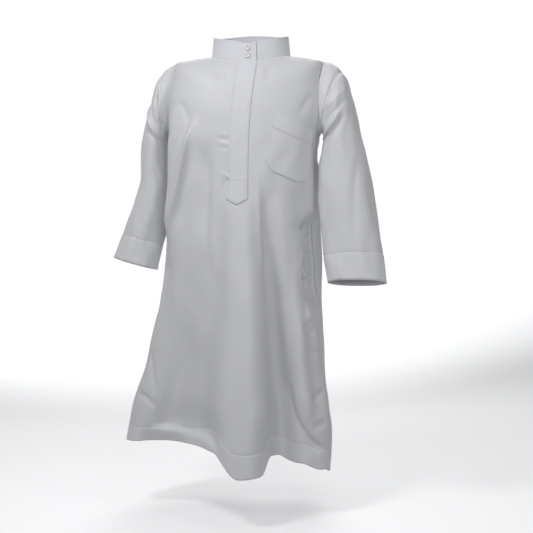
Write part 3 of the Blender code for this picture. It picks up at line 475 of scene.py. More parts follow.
def shell(outer, inner, cloth4, around=False):  # both faces of a cloth and the rims between them
    def rim(a, b, map4, axis):
        return np.stack([a, b], axis), np.stack([map4, map4], axis), False

    grids = [(outer, cloth4, False), (inner, cloth4, True)]
    grids.append(rim(inner[0], outer[0], cloth4[0], 0))
    grids.append(rim(outer[-1], inner[-1], cloth4[-1], 0))
    if not around:
        grids.append(rim(inner[:, 0], outer[:, 0], cloth4[:, 0], 1))
        grids.append(rim(outer[:, -1], inner[:, -1], cloth4[:, -1], 1))
    return grids


def clothMap(points, stitch=None, around=False):  # lengths along and down the cloth, in metres
    if around:
        points = np.concatenate([points, points[:, :1]], axis=1)
        if stitch is not None:
            stitch = np.concatenate([stitch, stitch[:, :1]], axis=1)
    across = lengths(points, 1)
    across = across - across[:, across.shape[1] // 2][:, None]
    down = lengths(points, 0)
    if stitch is None:
        stitch = np.full(down.shape, 1.0)
    return np.stack([across, down, across, stitch], axis=-1)


# materials
class NodeTools:
    # short ways to fill a node tree; a socket is given a number, a colour or another socket
    def __init__(self, tree):
        self.tree = tree

    def feed(self, node, values):  # sets or joins sockets by name or number
        for socket, value in values.items():
            if isinstance(value, bpy.types.NodeSocket):
                self.tree.links.new(value, node.inputs[socket])
            else:
                node.inputs[socket].default_value = value

    def add(self, kind, values=(), **settings):  # a new node with its settings and sockets
        node = self.tree.nodes.new(kind)
        for setting, value in settings.items():
            setattr(node, setting, value)
        self.feed(node, dict(values))
        return node

    def calc(self, operation, *values, clamp=False):  # result of one sum
        node = self.add("ShaderNodeMath", enumerate(values), operation=operation, use_clamp=clamp)
        return node.outputs[0]

    def ramp(self, value, span, result, kind="LINEAR"):  # a span of values carried to another
        limits = dict(zip(("From Min", "From Max", "To Min", "To Max"), (*span, *result)))
        node = self.add("ShaderNodeMapRange", {"Value": value, **limits}, interpolation_type=kind)
        return node.outputs[0]

    def tint(self, colour, strength):  # a colour times a strength
        node = self.add("ShaderNodeVectorMath", {0: colour, "Scale": strength}, operation="SCALE")
        return node.outputs["Vector"]

    def place(self, kind):  # position on the piece or direction in the surroundings
        return self.add("ShaderNodeTexCoord").outputs[kind]

    def noise(self, place, scale, detail=2.0):
        values = {"Vector": place, "Scale": scale, "Detail": detail}
        return self.add("ShaderNodeTexNoise", values).outputs["Fac"]


def newMaterial(name):
    material = bpy.data.materials.new(name)
    material.use_nodes = True
    return material, material.node_tree.nodes["Principled BSDF"], NodeTools(material.node_tree)


def clothMaterial(name, look):
    # woven cloth: fine crossing threads, soft mottling, a sheen, stitches along a second map, and painted
    # shade darkening the furrows beside the stitches
    material, shader, tools = newMaterial(name)
    calc = tools.calc
    clothPlace = tools.add("ShaderNodeUVMap", uv_map="clothMap").outputs["UV"]
    stitchPlace = tools.add("ShaderNodeUVMap", uv_map="stitchMap").outputs["UV"]
    along, aside = tools.add("ShaderNodeSeparateXYZ", {"Vector": stitchPlace}).outputs[:2]

    def threads(direction, pitch):
        values = {"Vector": clothPlace, "Scale": math.pi / 10 / pitch, "Distortion": 0.8, "Detail": 1.0,
                  "Detail Scale": 0.4}
        node = tools.add("ShaderNodeTexWave", values, wave_type="BANDS", bands_direction=direction,
                         wave_profile="SIN")
        return node.outputs["Fac"]

    weave = calc("MULTIPLY", threads("X", look["pitch"]), threads("Y", look["pitch"] * 1.15))
    slub = tools.noise(clothPlace, 150.0)
    cloudy = tools.noise(tools.place("Object"), 11.0, 3.0)
    away = calc("ABSOLUTE", aside)
    band = calc("SUBTRACT", 1.0, calc("DIVIDE", away, look["thread"]), clamp=True)
    beat = calc("SINE", calc("MULTIPLY", along, 2 * math.pi / look["stitch"]))
    stitches = calc("MULTIPLY", band, calc("ADD", calc("MULTIPLY", beat, 0.9), 0.75, clamp=True))
    # the furrow each stitch line presses in: a dip in the bump, and painted shade in the colour
    shadedFurrow = calc("SUBTRACT", 1.0, calc("DIVIDE", away, 3 * look["thread"]), clamp=True)
    doubled = calc("MULTIPLY", calc("GREATER_THAN", aside, 0.0), calc("LESS_THAN", aside, 0.2))
    uneven = calc("ADD", calc("MULTIPLY", cloudy, 0.6), calc("MULTIPLY", slub, 0.4))
    shade = tools.ramp(uneven, (0.25, 0.75), (1 - look["mottle"], 1.0))
    shade = calc("MULTIPLY", shade, calc("ADD", 0.98, calc("MULTIPLY", weave, 0.04)))
    # painted shade: the colour is darker in the stitch furrows
    shade = calc("MULTIPLY", shade, calc("SUBTRACT", 1.0, calc("MULTIPLY", shadedFurrow, look["shadedFurrow"])))
    shade = calc("ADD", shade, calc("MULTIPLY", stitches, 0.05))
    shade = calc("MULTIPLY", shade, calc("ADD", 1.0, calc("MULTIPLY", doubled, look["double"])))
    height = calc("ADD", calc("MULTIPLY", weave, 0.000012), calc("MULTIPLY", slub, look["slub"]))
    height = calc("ADD", height, calc("MULTIPLY", stitches, 0.00025))
    height = calc("SUBTRACT", height, calc("MULTIPLY", shadedFurrow, 0.00030))
    bump = tools.add("ShaderNodeBump", {"Strength": 0.6, "Distance": 1.0, "Height": height})
    tools.feed(shader, {
        "Base Color": tools.tint(look["colour"], shade),
        "Roughness": calc("ADD", look["roughness"] - 0.04, calc("MULTIPLY", slub, 0.08)),
        "Normal": bump.outputs["Normal"],
        "Specular IOR Level": look["specular"],
        "Sheen Weight": look["sheen"],
        "Sheen Roughness": 0.45,
    })
    return material


robeLook = {
    "colour": (0.77, 0.775, 0.80),
    "roughness": 0.48,
    "sheen": 0.15,
    "specular": 0.40,
    "pitch": 0.00060,
    "slub": 0.00005,
    "mottle": 0.035,
    "thread": 0.00040,
    "stitch": 0.0026,
    # strength of the painted shade in the stitch furrows
    "shadedFurrow": 0.10,
    "double": 0.06,
}
robeCloth = clothMaterial("robeCloth", robeLook)
pocketCloth = clothMaterial("pocketCloth", dict(robeLook, colour=(0.81, 0.815, 0.84), double=0.0))
firmCloth = clothMaterial("firmCloth", dict(robeLook, colour=(0.79, 0.80, 0.84), roughness=0.50,
                                            mottle=0.025, double=0.0))
print("materials ready")


# hems
hem = {
    "rise": 0.0004,
    "step": 0.0016,
    "stitchDip": 0.0006,
    "stitchWidth": 0.0012,
    "clothThickness": 0.0007,
}


def hemLift(away):  # a small step up to the doubled cloth, and the dip of its stitch line
    dip = hem["stitchDip"] * np.exp(-(away / hem["stitchWidth"]) ** 2)
    return hem["rise"] * smooth(0.5 + away / hem["step"]) - dip


def hemThickness(away, doubled):  # single cloth above the stitch line and doubled below it
    return hem["clothThickness"] + (doubled - hem["clothThickness"]) * smooth(0.5 + away / hem["step"])


# body panels
panel = {
    "rows": 205,
    "columns": 166,
    "backRows": 190,
    "backHalf": 81,
    "overRows": 34,
    "frontTurns": 26,
    "backTurns": 26,
    "doubled": 0.0015,
    "seamDip": 0.0001,
    "seamWidth": 0.0016,
    "pucker": 0.0006,
    "puckerReach": 0.010,
    "puckerWaves": (520, 61, 23),  # radians a metre
    "pullFrom": 0.3,
    "pullPower": 1.6,
    "metresPerLevel": 0.0765,  # down the front at the hem
    # rows close beside the stitch line, and how many rows the hem has below them
    "beside": np.array([-0.0026, -0.0014, -0.0006, 0, 0.0006, 0.0014, 0.0026]),
    "belowRows": 13,
    # middle, spread and strength of the places with a finer grid
    "finerAcross": [(0.66, 0.13, 1.7), (-0.48, 0.12, 0.7)],
    "finerDown": [(0.42, 0.12, 0.7), (0.20, 0.08, 0.3)],
}


def spaced(count, low, high, peaks):  # positions from low to high, drawn together around peaks
    fine = np.linspace(low, high, 2000)
    weight = 1 + sum(extra * np.exp(-((fine - middle) / spread) ** 2) for middle, spread, extra in peaks)
    total = np.cumsum(weight)
    return np.interp(np.linspace(total[0], total[-1], count), total, fine)


def panelLevels(top, rows, angles):
    # levels by row and column: even down to the hem's stitch line, close beside it, then the hem
    sample = np.linspace(top, hemLevel, 600)
    run = lengths(bodyPoint(35.0, sample), 0)
    stitchLevel = hemLevel - eased(hemDepths, angles) / panel["metresPerLevel"]
    middle = stitchLevel.mean()
    end = np.interp(middle, sample, run) - 0.004
    even = np.interp(spaced(rows, 0, end, panel["finerDown"]), run, sample)[:, None]
    stretch = np.where(even > 12, (even - 12) * ((stitchLevel - middle) / (middle - 12)), 0)
    beside = panel["beside"][:, None] / panel["metresPerLevel"]
    below = stitchLevel + beside[-1]
    share = np.linspace(0, 1, panel["belowRows"] + 1)[1:, None]
    return np.concatenate([even + stretch, stitchLevel + beside, below + (hemLevel - below) * share])


def finishPanel(outer, normal, edges, hemmed=True):
    # raises the turned hem by a step, puckers its stitch line, and dips the sewn borders
    down = lengths(outer, 0)
    stitch = np.full(down.shape, 1.0)
    thick = np.full(down.shape, hem["clothThickness"])
    if hemmed:
        row = len(outer) - panel["belowRows"] - len(panel["beside"]) // 2 - 1
        stitch = down - down[row]
        across = lengths(outer, 1)
        fine, bend, broad = panel["puckerWaves"]
        pucker = np.sin(across * fine + 2.2 * np.sin(across * bend)) * np.sin(across * broad + 1.0)
        pucker *= panel["pucker"] * np.exp(-np.abs(stitch) / panel["puckerReach"])
        outer = outer + normal * (hemLift(stitch) + pucker)[..., None]
        thick = hemThickness(stitch, panel["doubled"])
    for distance in edges:
        dip = panel["seamDip"] * np.exp(-(distance / panel["seamWidth"]) ** 2)
        outer = outer - normal * dip[..., None]
    return outer, outer - normal * thick[..., None], stitch


def fromEdge(points, column):  # distance along each row from its first or last column
    run = lengths(points, 1)
    return np.abs(run - run[:, column][:, None])


def buildFront():
    share = spaced(panel["columns"], -1, 1, panel["finerAcross"])
    levels = panelLevels(0, panel["rows"], share * 90)
    side = np.sign(share)
    reach = np.where(side > 0, frontEdge(levels, 1), frontEdge(levels, -1))
    pull = np.clip((np.abs(share) - panel["pullFrom"]) / (1 - panel["pullFrom"]), 0, 1)
    angles = side * (np.abs(share) * 90 - (90 - reach) * pull ** panel["pullPower"])
    outer, normal = bodySurface(angles, levels)
    outer, inner, stitch = finishPanel(outer, normal, [fromEdge(outer, 0), fromEdge(outer, -1)])
    piece = makePiece("frontPanel", shell(outer, inner, clothMap(outer, stitch)), robeCloth,
                      "front")


def borderAngles():
    # round the edge of the shoulders' part: over the left shoulder, across the back, and back
    frontTurns = np.linspace(armholes["frontTurn"], 180, panel["frontTurns"])
    backTurns = np.linspace(180, armholes["backTurn"], panel["backTurns"])[1:]
    ends = []
    for side in (1, -1):
        over = [armholeAt(frontTurns, side, False), armholeAt(backTurns, side, True)]
        ends.append(np.concatenate([np.stack(part, axis=1) for part in over]))
    near, far = ends[0], ends[1][::-1] + [360, 0]
    across = 180 + (180 - near[-1, 0]) * np.linspace(-1, 1, 2 * panel["backHalf"] + 1)[1:-1]
    middle = np.stack([across, np.full(len(across), near[-1, 1])], axis=1)
    return np.concatenate([near, middle, far])


def buildBack():
    # the part below the shoulders, row by row, and the part over them, from the neck to a border
    top = armholeAt(armholes["backTurn"], 1, True)[1]
    share = np.linspace(-1, 1, 2 * panel["backHalf"] + 1)
    levels = panelLevels(top, panel["backRows"], 180 + 90 * share)
    edges = np.where(levels >= armpitLevel, 90.0, armholeAngle(levels, 1, True))
    lower, normal = bodySurface(180 + (180 - edges) * share, levels)
    lower, lowerInner, stitch = finishPanel(lower, normal, [fromEdge(lower, 0), fromEdge(lower, -1)])
    border = borderAngles()
    run = lengths(bodyPoint(border[:, 0], border[:, 1]), 0)
    neck = armholes["neckAngle"] + run / run[-1] * (360 - 2 * armholes["neckAngle"])
    out = np.linspace(0, 1, panel["overRows"])[:, None]
    upper, normal = bodySurface(neck + (border[:, 0] - neck) * out, border[:, 1] * out)
    ends = panel["frontTurns"] + panel["backTurns"] - 1
    fromHole = lengths(upper, 0)
    fromHole = fromHole[-1] - fromHole
    fromHole[:, ends:-ends] = 1.0
    sewn = [fromEdge(upper, 0), fromEdge(upper, -1), fromHole]
    upper, upperInner, _ = finishPanel(upper, normal, sewn, hemmed=False)
    grids = shell(lower, lowerInner, clothMap(lower, stitch))
    grids = grids[:2] + grids[3:]
    more = shell(upper, upperInner, clothMap(upper))
    rim = more.pop(3)
    more += [(rim[0][:, :ends], rim[1][:, :ends], False), (rim[0][:, -ends:], rim[1][:, -ends:], False)]
    piece = makePiece("backPanel", grids + more, robeCloth, "back")


buildFront()
buildBack()

# sleeves
sleeve = {
    "rows": 120,
    "columns": 150,
    "doubled": 0.0016,
    "hemStart": 0.905,
    "hemClear": 0.007,
    "headRows": 0.2,  # how much closer the rows lie at the head
    "length": 0.42,
    "metresPerDegree": 0.0009,
    "outlineKept": 0.32,
    "beside": np.array([-0.0024, -0.0012, -0.0005, 0, 0.0005, 0.0012, 0.0024]),
    "seamDip": 0.0001,
    "seamWidth": 0.0018,
    "ease": 0.0006,
    "easeReach": 0.010,
    "fullness": 0.0055,
    "fullnessAt": 84,  # degrees from the top at which the head is fullest
    "fullnessStart": 0.030,
    "fullnessReach": 0.24,
    "areas": {1: 0.112, -1: 0.096},
}
sleeveCreases = {
    1: [
        ([(0.128, 0.03), (0.117, 0.061), (0.083, 0.085), (0.03, 0.096)], 0.007, 0.01, 1.8, 0.002, 0.3, 0.3),
        ([(0.15, 0.035), (0.143, 0.07), (0.118, 0.098), (0.06, 0.115)], 0.008, 0.008, 2.0, -0.002, 0.3, 0.3),
        ([(0.17, 0.04), (0.169, 0.073), (0.152, 0.106), (0.1, 0.13)], 0.007, 0.009, 1.8, 0.0022, 0.3, 0.3),
        ([(0.169, 0.109), (0.15, 0.128), (0.15, 0.15)], 0.0045, 0.0045, 1.7, -0.003, 0.2, 0.3),
        ([(0.25, 0.038), (0.287, 0.058), (0.323, 0.068), (0.366, 0.08)], 0.007, 0.01, 1.8, -0.003, 0.3, 0.4),
        ([(0.388, 0.103), (0.405, 0.107), (0.419, 0.109)], 0.004, 0.004, 2.0, 0.002, 0.3, 0.1),
        ([(0.215, -0.02), (0.205, -0.07), (0.19, -0.125)], 0.005, 0.006, 1.6, -0.004, 0.3, 0.3),
        ([(0.243, -0.03), (0.237, -0.08), (0.225, -0.13)], 0.005, 0.006, 1.7, 0.003, 0.3, 0.3),
        ([(0.08, -0.06), (0.2, -0.075), (0.345, -0.068)], 0.009, 0.012, 1.8, 0.004, 0.3, 0.3),
        ([(0.12, -0.1), (0.25, -0.112), (0.385, -0.1)], 0.009, 0.009, 2.0, -0.004, 0.3, 0.2),
        ([(0.05, -0.03), (0.11, -0.012), (0.19, 0.006)], 0.008, 0.01, 2.0, -0.0025, 0.3, 0.4),
    ],
    -1: [
        ([(0.19, 0.03), (0.174, 0.08), (0.15, 0.13)], 0.008, 0.007, 1.8, 0.0026, 0.3, 0.3),
        ([(0.204, 0.044), (0.188, 0.085), (0.165, 0.139)], 0.006, 0.007, 1.6, -0.0032, 0.3, 0.3),
        ([(0.141, 0.092), (0.105, 0.11), (0.073, 0.121)], 0.004, 0.005, 1.8, -0.0025, 0.3, 0.3),
        ([(0.1, 0.046), (0.12, 0.095)], 0.008, 0.008, 2.0, -0.002, 0.3, 0.3),
        ([(0.092, 0.023), (0.042, 0.066)], 0.006, 0.006, 2.0, -0.002, 0.3, 0.3),
        ([(0.365, 0.078), (0.385, 0.113)], 0.003, 0.004, 1.8, -0.0018, 0.3, 0.3),
        ([(0.35, 0.066), (0.367, 0.1)], 0.003, 0.004, 1.8, -0.0015, 0.3, 0.3),
        ([(0.205, -0.018), (0.197, -0.07), (0.18, -0.13)], 0.005, 0.006, 1.6, -0.004, 0.3, 0.3),
        ([(0.233, -0.022), (0.228, -0.075), (0.215, -0.13)], 0.005, 0.006, 1.7, 0.0032, 0.3, 0.3),
        ([(0.08, -0.055), (0.21, -0.068), (0.35, -0.076)], 0.012, 0.009, 1.8, 0.004, 0.3, 0.3),
        ([(0.13, -0.105), (0.25, -0.098), (0.385, -0.11)], 0.009, 0.009, 2.0, -0.004, 0.3, 0.2),
        ([(0.06, 0.01), (0.15, -0.012), (0.24, -0.004)], 0.009, 0.008, 2.0, -0.0025, 0.3, 0.4),
    ],
}


def sleeveSurface(side, along, turn):
    # ovals between the top and the underarm; the first takes the armhole's outline, which fades
    # out over the next few, then dents, creases and waves stand out from the middle
    topX, topZ, underX, underZ, midY, depth, lean = np.moveaxis(
        between(sleeveSections[side], along * (len(sleeveSections[side]) - 1)), -1, 0)
    top, under = np.stack([topX, midY, topZ], -1), np.stack([underX, midY, underZ], -1)
    centre, rise = (top + under) / 2, (top - under) / 2
    lean = np.radians(lean)
    forward = np.stack([0 * lean, -np.cos(lean), np.sin(lean)], -1) * depth[:, None]
    around = 180 - turn
    cosine, sine = np.cos(np.radians(around)), np.sin(np.radians(around))
    rings = centre[:, None] + rise[:, None] * cosine[None, :, None] + forward[:, None] * sine[None, :, None]
    before = armholeAt(turn, side, False)
    behind = armholeAt(360 - turn, side, True)
    isFront = turn <= 180
    loop = bodySurface(np.where(isFront, before[0], behind[0]), np.where(isFront, before[1], behind[1]))[0]
    keep = (1 - smooth(along / sleeve["outlineKept"]))[:, None, None]
    rings = rings + keep * (loop - rings[0])[None]
    outward = rings - centre[:, None]
    outward /= np.linalg.norm(outward, axis=-1, keepdims=True)
    u, v = np.broadcast_arrays(along[:, None], around[None, :])
    height = np.zeros_like(u)
    for place, middle, length, spread, size, slope in sleeveDents[side]:
        step = u - place
        away = (v - middle - slope * step / length + 180) % 360 - 180
        height += size * np.exp(-(step / length) ** 2 - (away / spread) ** 2)
    down, across = u * sleeve["length"], v * sleeve["metresPerDegree"]
    height += creaseHeight(down, across, sleeveCreases[side])
    height += waves(down, np.abs(across), sleeveWaves) * smooth(u / 0.1)
    gathers = np.sin(np.radians(v) * 29 + 1.5 * np.sin(np.radians(v) * 3))
    height += sleeve["ease"] * gathers * smooth(down / 0.004) * np.exp(-down / sleeve["easeReach"])
    full = np.clip(np.cos(np.radians(np.abs(v) - sleeve["fullnessAt"])), 0, 1) ** 1.6
    full *= smooth(down / sleeve["fullnessStart"]) * np.exp(-(u / sleeve["fullnessReach"]) ** 2)
    height += sleeve["fullness"] * full
    return rings + outward * height[..., None]


def buildSleeve(side, name, node):
    share = np.linspace(0, 1, sleeve["rows"])
    along = (1 - sleeve["headRows"]) * share + sleeve["headRows"] * share ** 2
    along = along[np.abs(along - sleeve["hemStart"]) > sleeve["hemClear"]]
    along = np.sort(np.concatenate([along, sleeve["hemStart"] + sleeve["beside"] / sleeve["length"]]))
    turn = np.linspace(0, 360, sleeve["columns"], endpoint=False)
    points = sleeveSurface(side, along, turn)
    normal = tubeNormals(points) * side
    away = (along - sleeve["hemStart"]) * sleeve["length"]
    run = lengths(points, 0).mean(axis=1)
    lift = hemLift(away) - sleeve["seamDip"] * np.exp(-(run / sleeve["seamWidth"]) ** 2)
    outer = points + normal * lift[:, None, None]
    inner = outer - normal * hemThickness(away, sleeve["doubled"])[:, None, None]
    stitch = np.repeat(away[:, None], len(turn), axis=1)
    if side < 0:
        outer, inner = outer[:, ::-1], inner[:, ::-1]
    piece = makePiece(name, shell(outer, inner, clothMap(outer, stitch, True), True), robeCloth,
                      node, around=True)


buildSleeve(1, "leftSleeve", "sleeve_left")
buildSleeve(-1, "rightSleeve", "sleeve_right")

# collar
def rounded(distance, radius):  # how far a rounded edge falls at a distance in from it
    inside = np.clip(radius - distance, 0, radius)
    return radius - np.sqrt(radius ** 2 - inside ** 2)


collar = {
    "height": 0.0356,
    "cut": 0.036,
    "columns": 260,
    "middleX": 0.0005,
    "frontDrop": 0.0020,
    "backDrop": 0.0003,
    "dip": 0.0042,
    "dipSpread": 0.018,
    "lean": 0.0038,
    "lap": 0.0172,
    "lapTurn": (18, 30),  # angle at which the under layer starts to come out, and over how much
    "layerGap": 0.0003,
    "sink": 0.0026,
    "thickness": 0.0014,
    "seat": -0.0008,
    "edgeStitch": 0.0035,
}


def angleAcross(level, across):  # angle at a distance across from the centre front
    ring = between(bodyRings, np.asarray(level, float))
    left, centre, right = ring[..., 3], ring[..., 4], ring[..., 5]
    return np.degrees(np.arcsin(across / np.where(across > 0, right - centre, centre - left)))


def collarPoint(angle, share, depth):
    # the neckline carried up and leaned in; the front lap's under end lies one layer further in
    base = bodyPoint(angle, np.zeros_like(angle))
    frontShare, backShare = smooth(np.cos(np.radians(angle))), smooth(-np.cos(np.radians(angle)))
    across = base[..., 0] - collar["middleX"]
    height = collar["height"] - collar["frontDrop"] * frontShare - collar["backDrop"] * backShare
    height -= collar["dip"] * np.exp(-(across / collar["dipSpread"]) ** 2) * frontShare
    lapStart, lapRun = collar["lapTurn"]
    under = 1 - smooth((angle - lapStart) / lapRun)
    inward = np.array([collar["middleX"], 0.0]) - base[..., :2]
    inward /= np.linalg.norm(inward, axis=-1, keepdims=True)
    shift = collar["seat"] + under * (collar["thickness"] + collar["layerGap"])
    shift = shift + collar["lean"] * share + depth
    place = base[..., :2] + inward * shift[..., None]
    z = base[..., 2] - collar["sink"] + (height + collar["sink"]) * share
    return np.concatenate([place, z[..., None]], axis=-1)


def buildCollar():
    # a doubled band: rows close together round its rounded top edge, then even down to its foot
    edge = float(angleAcross(0.0, collar["lap"]))
    angle = np.linspace(-edge, 360 + edge, collar["columns"])
    half = collar["thickness"] / 2
    turned = half * (1 - np.cos(np.linspace(0, np.pi / 2, 6)))
    drop = np.concatenate([turned, np.linspace(half, collar["cut"], 22)[1:]])
    share = 1 - drop / drop[-1]
    bulge = rounded(drop, half) + rounded(drop[-1] - drop, half)
    bulge[0] = half * 0.96
    grid = np.broadcast_to(angle, (len(share), len(angle)))
    shares = np.broadcast_to(share[:, None], grid.shape)
    outer = collarPoint(grid, shares, bulge[:, None] + 0 * grid)
    inner = collarPoint(grid, shares, collar["thickness"] - bulge[:, None] + 0 * grid)
    stitch = np.repeat((drop - collar["edgeStitch"])[:, None], len(angle), axis=1)
    piece = makePiece("collarBand", shell(outer, inner, clothMap(outer, stitch)), firmCloth,
                      "collar")


buildCollar()

# placket and pocket
placket = {
    "width": 0.0367,
    "top": -0.0134,
    "tip": -0.279,
    "point": 0.010,
    "pointFrom": 0.90,
    "tab": 0.040,
    "tabStep": 0.0012,
    "gap": 0.0002,
    "thickness": 0.0017,
    "tabRise": 0.0007,
    "edgeStitch": 0.0040,
    "foldStitch": 0.0022,
    "tabStitch": 0.0035,
    "tabTopStitches": (0.0012, 0.0065),
    "stitchDip": 0.0003,
    "stitchWidth": 0.0009,
    "round": 0.0009,
}
pocket = {
    "inTop": (0.0560, -0.1122),
    "outTop": (0.1200, -0.1440),
    "inLow": (0.0382, -0.1983),
    "outLow": (0.1140, -0.2285),
    "cut": [(0, 0), (0.17, 0.0155), (0.45, 0.0150), (0.72, 0.0165), (0.87, 0.0120), (1, 0)],
    "cutFrom": 0.45,
    "band": 0.027,
    "bandStep": 0.0016,
    "bandRise": 0.0010,
    "gap": 0.0003,
    "thickness": 0.0017,
    "edgeStitch": 0.0016,
    "bandStitch": 0.0015,
    "round": 0.0008,
}


def levelAt(z):  # level of a height on the centre front
    levels = np.linspace(0, 12, 3000)
    return np.interp(-z, -bodyPoint(0.0, levels)[:, 2], levels)


def nearestLine(*lines):  # distance from the nearest of several stitch lines, with its sign
    lines = np.stack(lines)
    return np.take_along_axis(lines, np.abs(lines).argmin(axis=0)[None], axis=0)[0]


def placeOn(x, z):  # angle and level of the spot of the body with this x and z, by Newton steps
    angle, level = np.full(x.shape, 45.0), np.full(x.shape, 8.0)
    for _ in range(30):
        here = bodyPoint(angle, level)
        byAngle = (bodyPoint(angle + 0.1, level) - here) / 0.1
        byLevel = (bodyPoint(angle, level + 0.01) - here) / 0.01
        missX, missZ = x - here[..., 0], z - here[..., 2]
        whole = byAngle[..., 0] * byLevel[..., 2] - byLevel[..., 0] * byAngle[..., 2]
        turn = (missX * byLevel[..., 2] - missZ * byLevel[..., 0]) / whole
        climb = (missZ * byAngle[..., 0] - missX * byAngle[..., 2]) / whole
        angle = angle + np.clip(turn, -8, 8)
        level = level + np.clip(climb, -0.5, 0.5)
    return angle, level


def buildPlacket():
    # a strip down the centre front whose last rows bend into a point
    width, point = placket["width"], placket["point"]
    s = np.sin(np.linspace(-np.pi / 2, np.pi / 2, 41)) * 0.25 + np.linspace(-1, 1, 41) * 0.75
    t = np.linspace(0, 1, 191)[:, None]
    foot = placket["tip"] + point
    z = placket["top"] + (foot - placket["top"]) * t
    z = z - point * (1 - np.abs(s)) * smooth((t - placket["pointFrom"]) / (1 - placket["pointFrom"]))
    across = s * width / 2 + 0 * z
    levels = levelAt(z)
    base, normal = bodySurface(angleAcross(levels, across), levels)
    fromTip = (z - (placket["tip"] + point * np.abs(s))) / math.hypot(1, point / (width / 2))
    border = np.minimum(width / 2 - np.abs(across), np.maximum(fromTip, 0))
    tabTop = foot + placket["tab"]
    inTab = z < tabTop
    upperLine, lowerLine = placket["tabTopStitches"]
    stitch = nearestLine(np.where(inTab, 1, across + width / 2 - placket["edgeStitch"]),
                         np.where(inTab, 1, width / 2 - across - placket["foldStitch"]),
                         z - tabTop + upperLine, np.where(inTab, border - placket["tabStitch"], 1),
                         z - tabTop + lowerLine)
    lift = placket["gap"] + placket["thickness"] - rounded(border, placket["round"])
    lift = lift + placket["tabRise"] * smooth((tabTop - z) / placket["tabStep"] + 0.5)
    lift = lift - placket["stitchDip"] * np.exp(-(stitch / placket["stitchWidth"]) ** 2)
    outer, inner = base + normal * lift[..., None], base + normal * placket["gap"]
    piece = makePiece("placketStrip", shell(outer, inner, clothMap(outer, stitch)), firmCloth,
                      "placket")


def buildPocket():
    # a patch between four corners, whose lower part drops to a shaped edge
    inTop, outTop, inLow, outLow = [np.array(pocket[k]) for k in ("inTop", "outTop", "inLow", "outLow")]
    s = np.sort(np.concatenate([np.linspace(0, 1, 61), [0.006, 0.994]]))[None, :]
    t = np.sort(np.concatenate([np.linspace(0, 1, 81), [0.006, 0.994]]))[:, None]
    top, low = inTop + (outTop - inTop) * s[..., None], inLow + (outLow - inLow) * s[..., None]
    plan = top + (low - top) * t[..., None]
    cut = np.array(pocket["cut"])
    lower = smooth((t - pocket["cutFrom"]) / (1 - pocket["cutFrom"]))
    z = plan[..., 1] - lower * np.interp(s, cut[:, 0], cut[:, 1])
    base, normal = bodySurface(*placeOn(plan[..., 0], z))
    width, height = np.linalg.norm(outTop - inTop), np.linalg.norm(inLow - inTop)
    border = np.minimum(np.minimum(s, 1 - s) * width, (1 - t) * height) + 0 * z
    fromTop = t * height + 0 * z
    band = fromTop - pocket["band"]
    stitch = nearestLine(border - pocket["edgeStitch"], band + pocket["bandStitch"])
    lift = pocket["gap"] + pocket["thickness"] - rounded(np.minimum(border, fromTop), pocket["round"])
    lift = lift + pocket["bandRise"] * smooth(0.5 - band / pocket["bandStep"])
    outer, inner = base + normal * lift[..., None], base + normal * pocket["gap"]
    piece = makePiece("chestPocket", shell(outer, inner, clothMap(outer, stitch)), pocketCloth,
                      "chest_pocket")


buildPlacket()
buildPocket()

# buttons
button = {
    "rows": 60,
    "columns": 64,
    "angle": 359.9,
    "radius": 0.0053,
    "thickness": 0.0022,
    "heights": {"collar_button_upper": 0.0102, "collar_button_lower": -0.0038},
    "holeSpread": 0.0013,
    "holeRadius": 0.00055,
    "holeDepth": 0.0009,
    "seat": 0.0002,
}
# distance from the axis and height of the profile, as shares of the radius and the thickness
buttonProfile = np.array([
    (0.0001, 0.60), (0.12, 0.60), (0.24, 0.60), (0.34, 0.60), (0.44, 0.61), (0.54, 0.66),
    (0.62, 0.80), (0.70, 0.95), (0.78, 1.0), (0.86, 1.0), (0.93, 0.94), (0.98, 0.80),
    (1.0, 0.62), (1.0, 0.40), (0.97, 0.20), (0.90, 0.05), (0.6, 0.0), (0.0001, 0.0)])


def buttonMaterial():
    # glossy moulded plastic with faint milky clouds
    material, shader, tools = newMaterial("buttonPlastic")
    clouds = tools.noise(tools.place("Object"), 420.0)
    tools.feed(shader, {
        "Base Color": tools.tint((1.0, 1.0, 0.99), tools.ramp(clouds, (0, 1), (0.78, 0.88))),
        "Roughness": tools.ramp(clouds, (0, 1), (0.18, 0.30)),
        "Coat Weight": 0.4,
        "Coat Roughness": 0.12,
    })
    return material


def buildButton(node, name, material):
    # a profile turned about the button's axis, with four holes pressed into its middle
    radius, thick = button["radius"], button["thickness"]
    fine = between(buttonProfile, np.linspace(0, len(buttonProfile) - 1, button["rows"]))
    turn = np.linspace(0, 2 * np.pi, button["columns"], endpoint=False)
    r, h = fine[:, :1] * radius, fine[:, 1:] * thick
    x, y, z = r * np.cos(turn), r * np.sin(turn), h + 0 * turn
    spread = button["holeSpread"]
    for cx, cy in ((spread, spread), (-spread, spread), (spread, -spread), (-spread, -spread)):
        gap = np.hypot(x - cx, y - cy) / button["holeRadius"]
        z = z - np.where(z > 0.3 * thick, button["holeDepth"] * np.exp(-gap ** 4), 0)
    foot, top = collarPoint(np.full(2, button["angle"]), np.array([0.0, 1.0]), np.zeros(2))
    lean = (top - foot) / (top[2] - foot[2])
    centre = foot + lean * (button["heights"][node] - foot[2]) - [0, button["seat"], 0]
    tilt = math.atan(lean[1])
    up = np.array([0, math.sin(tilt), math.cos(tilt)])
    out = np.array([0, -math.cos(tilt), math.sin(tilt)])
    points = centre + x[..., None] * np.array([1.0, 0, 0]) + y[..., None] * up + z[..., None] * out
    grid = (points, np.zeros((len(fine), len(turn) + 1, 4)), False)
    makePiece(name, [grid], material, node, around=True)


buttonPlastic = buttonMaterial()
buildButton("collar_button_upper", "upperButton", buttonPlastic)
buildButton("collar_button_lower", "lowerButton", buttonPlastic)

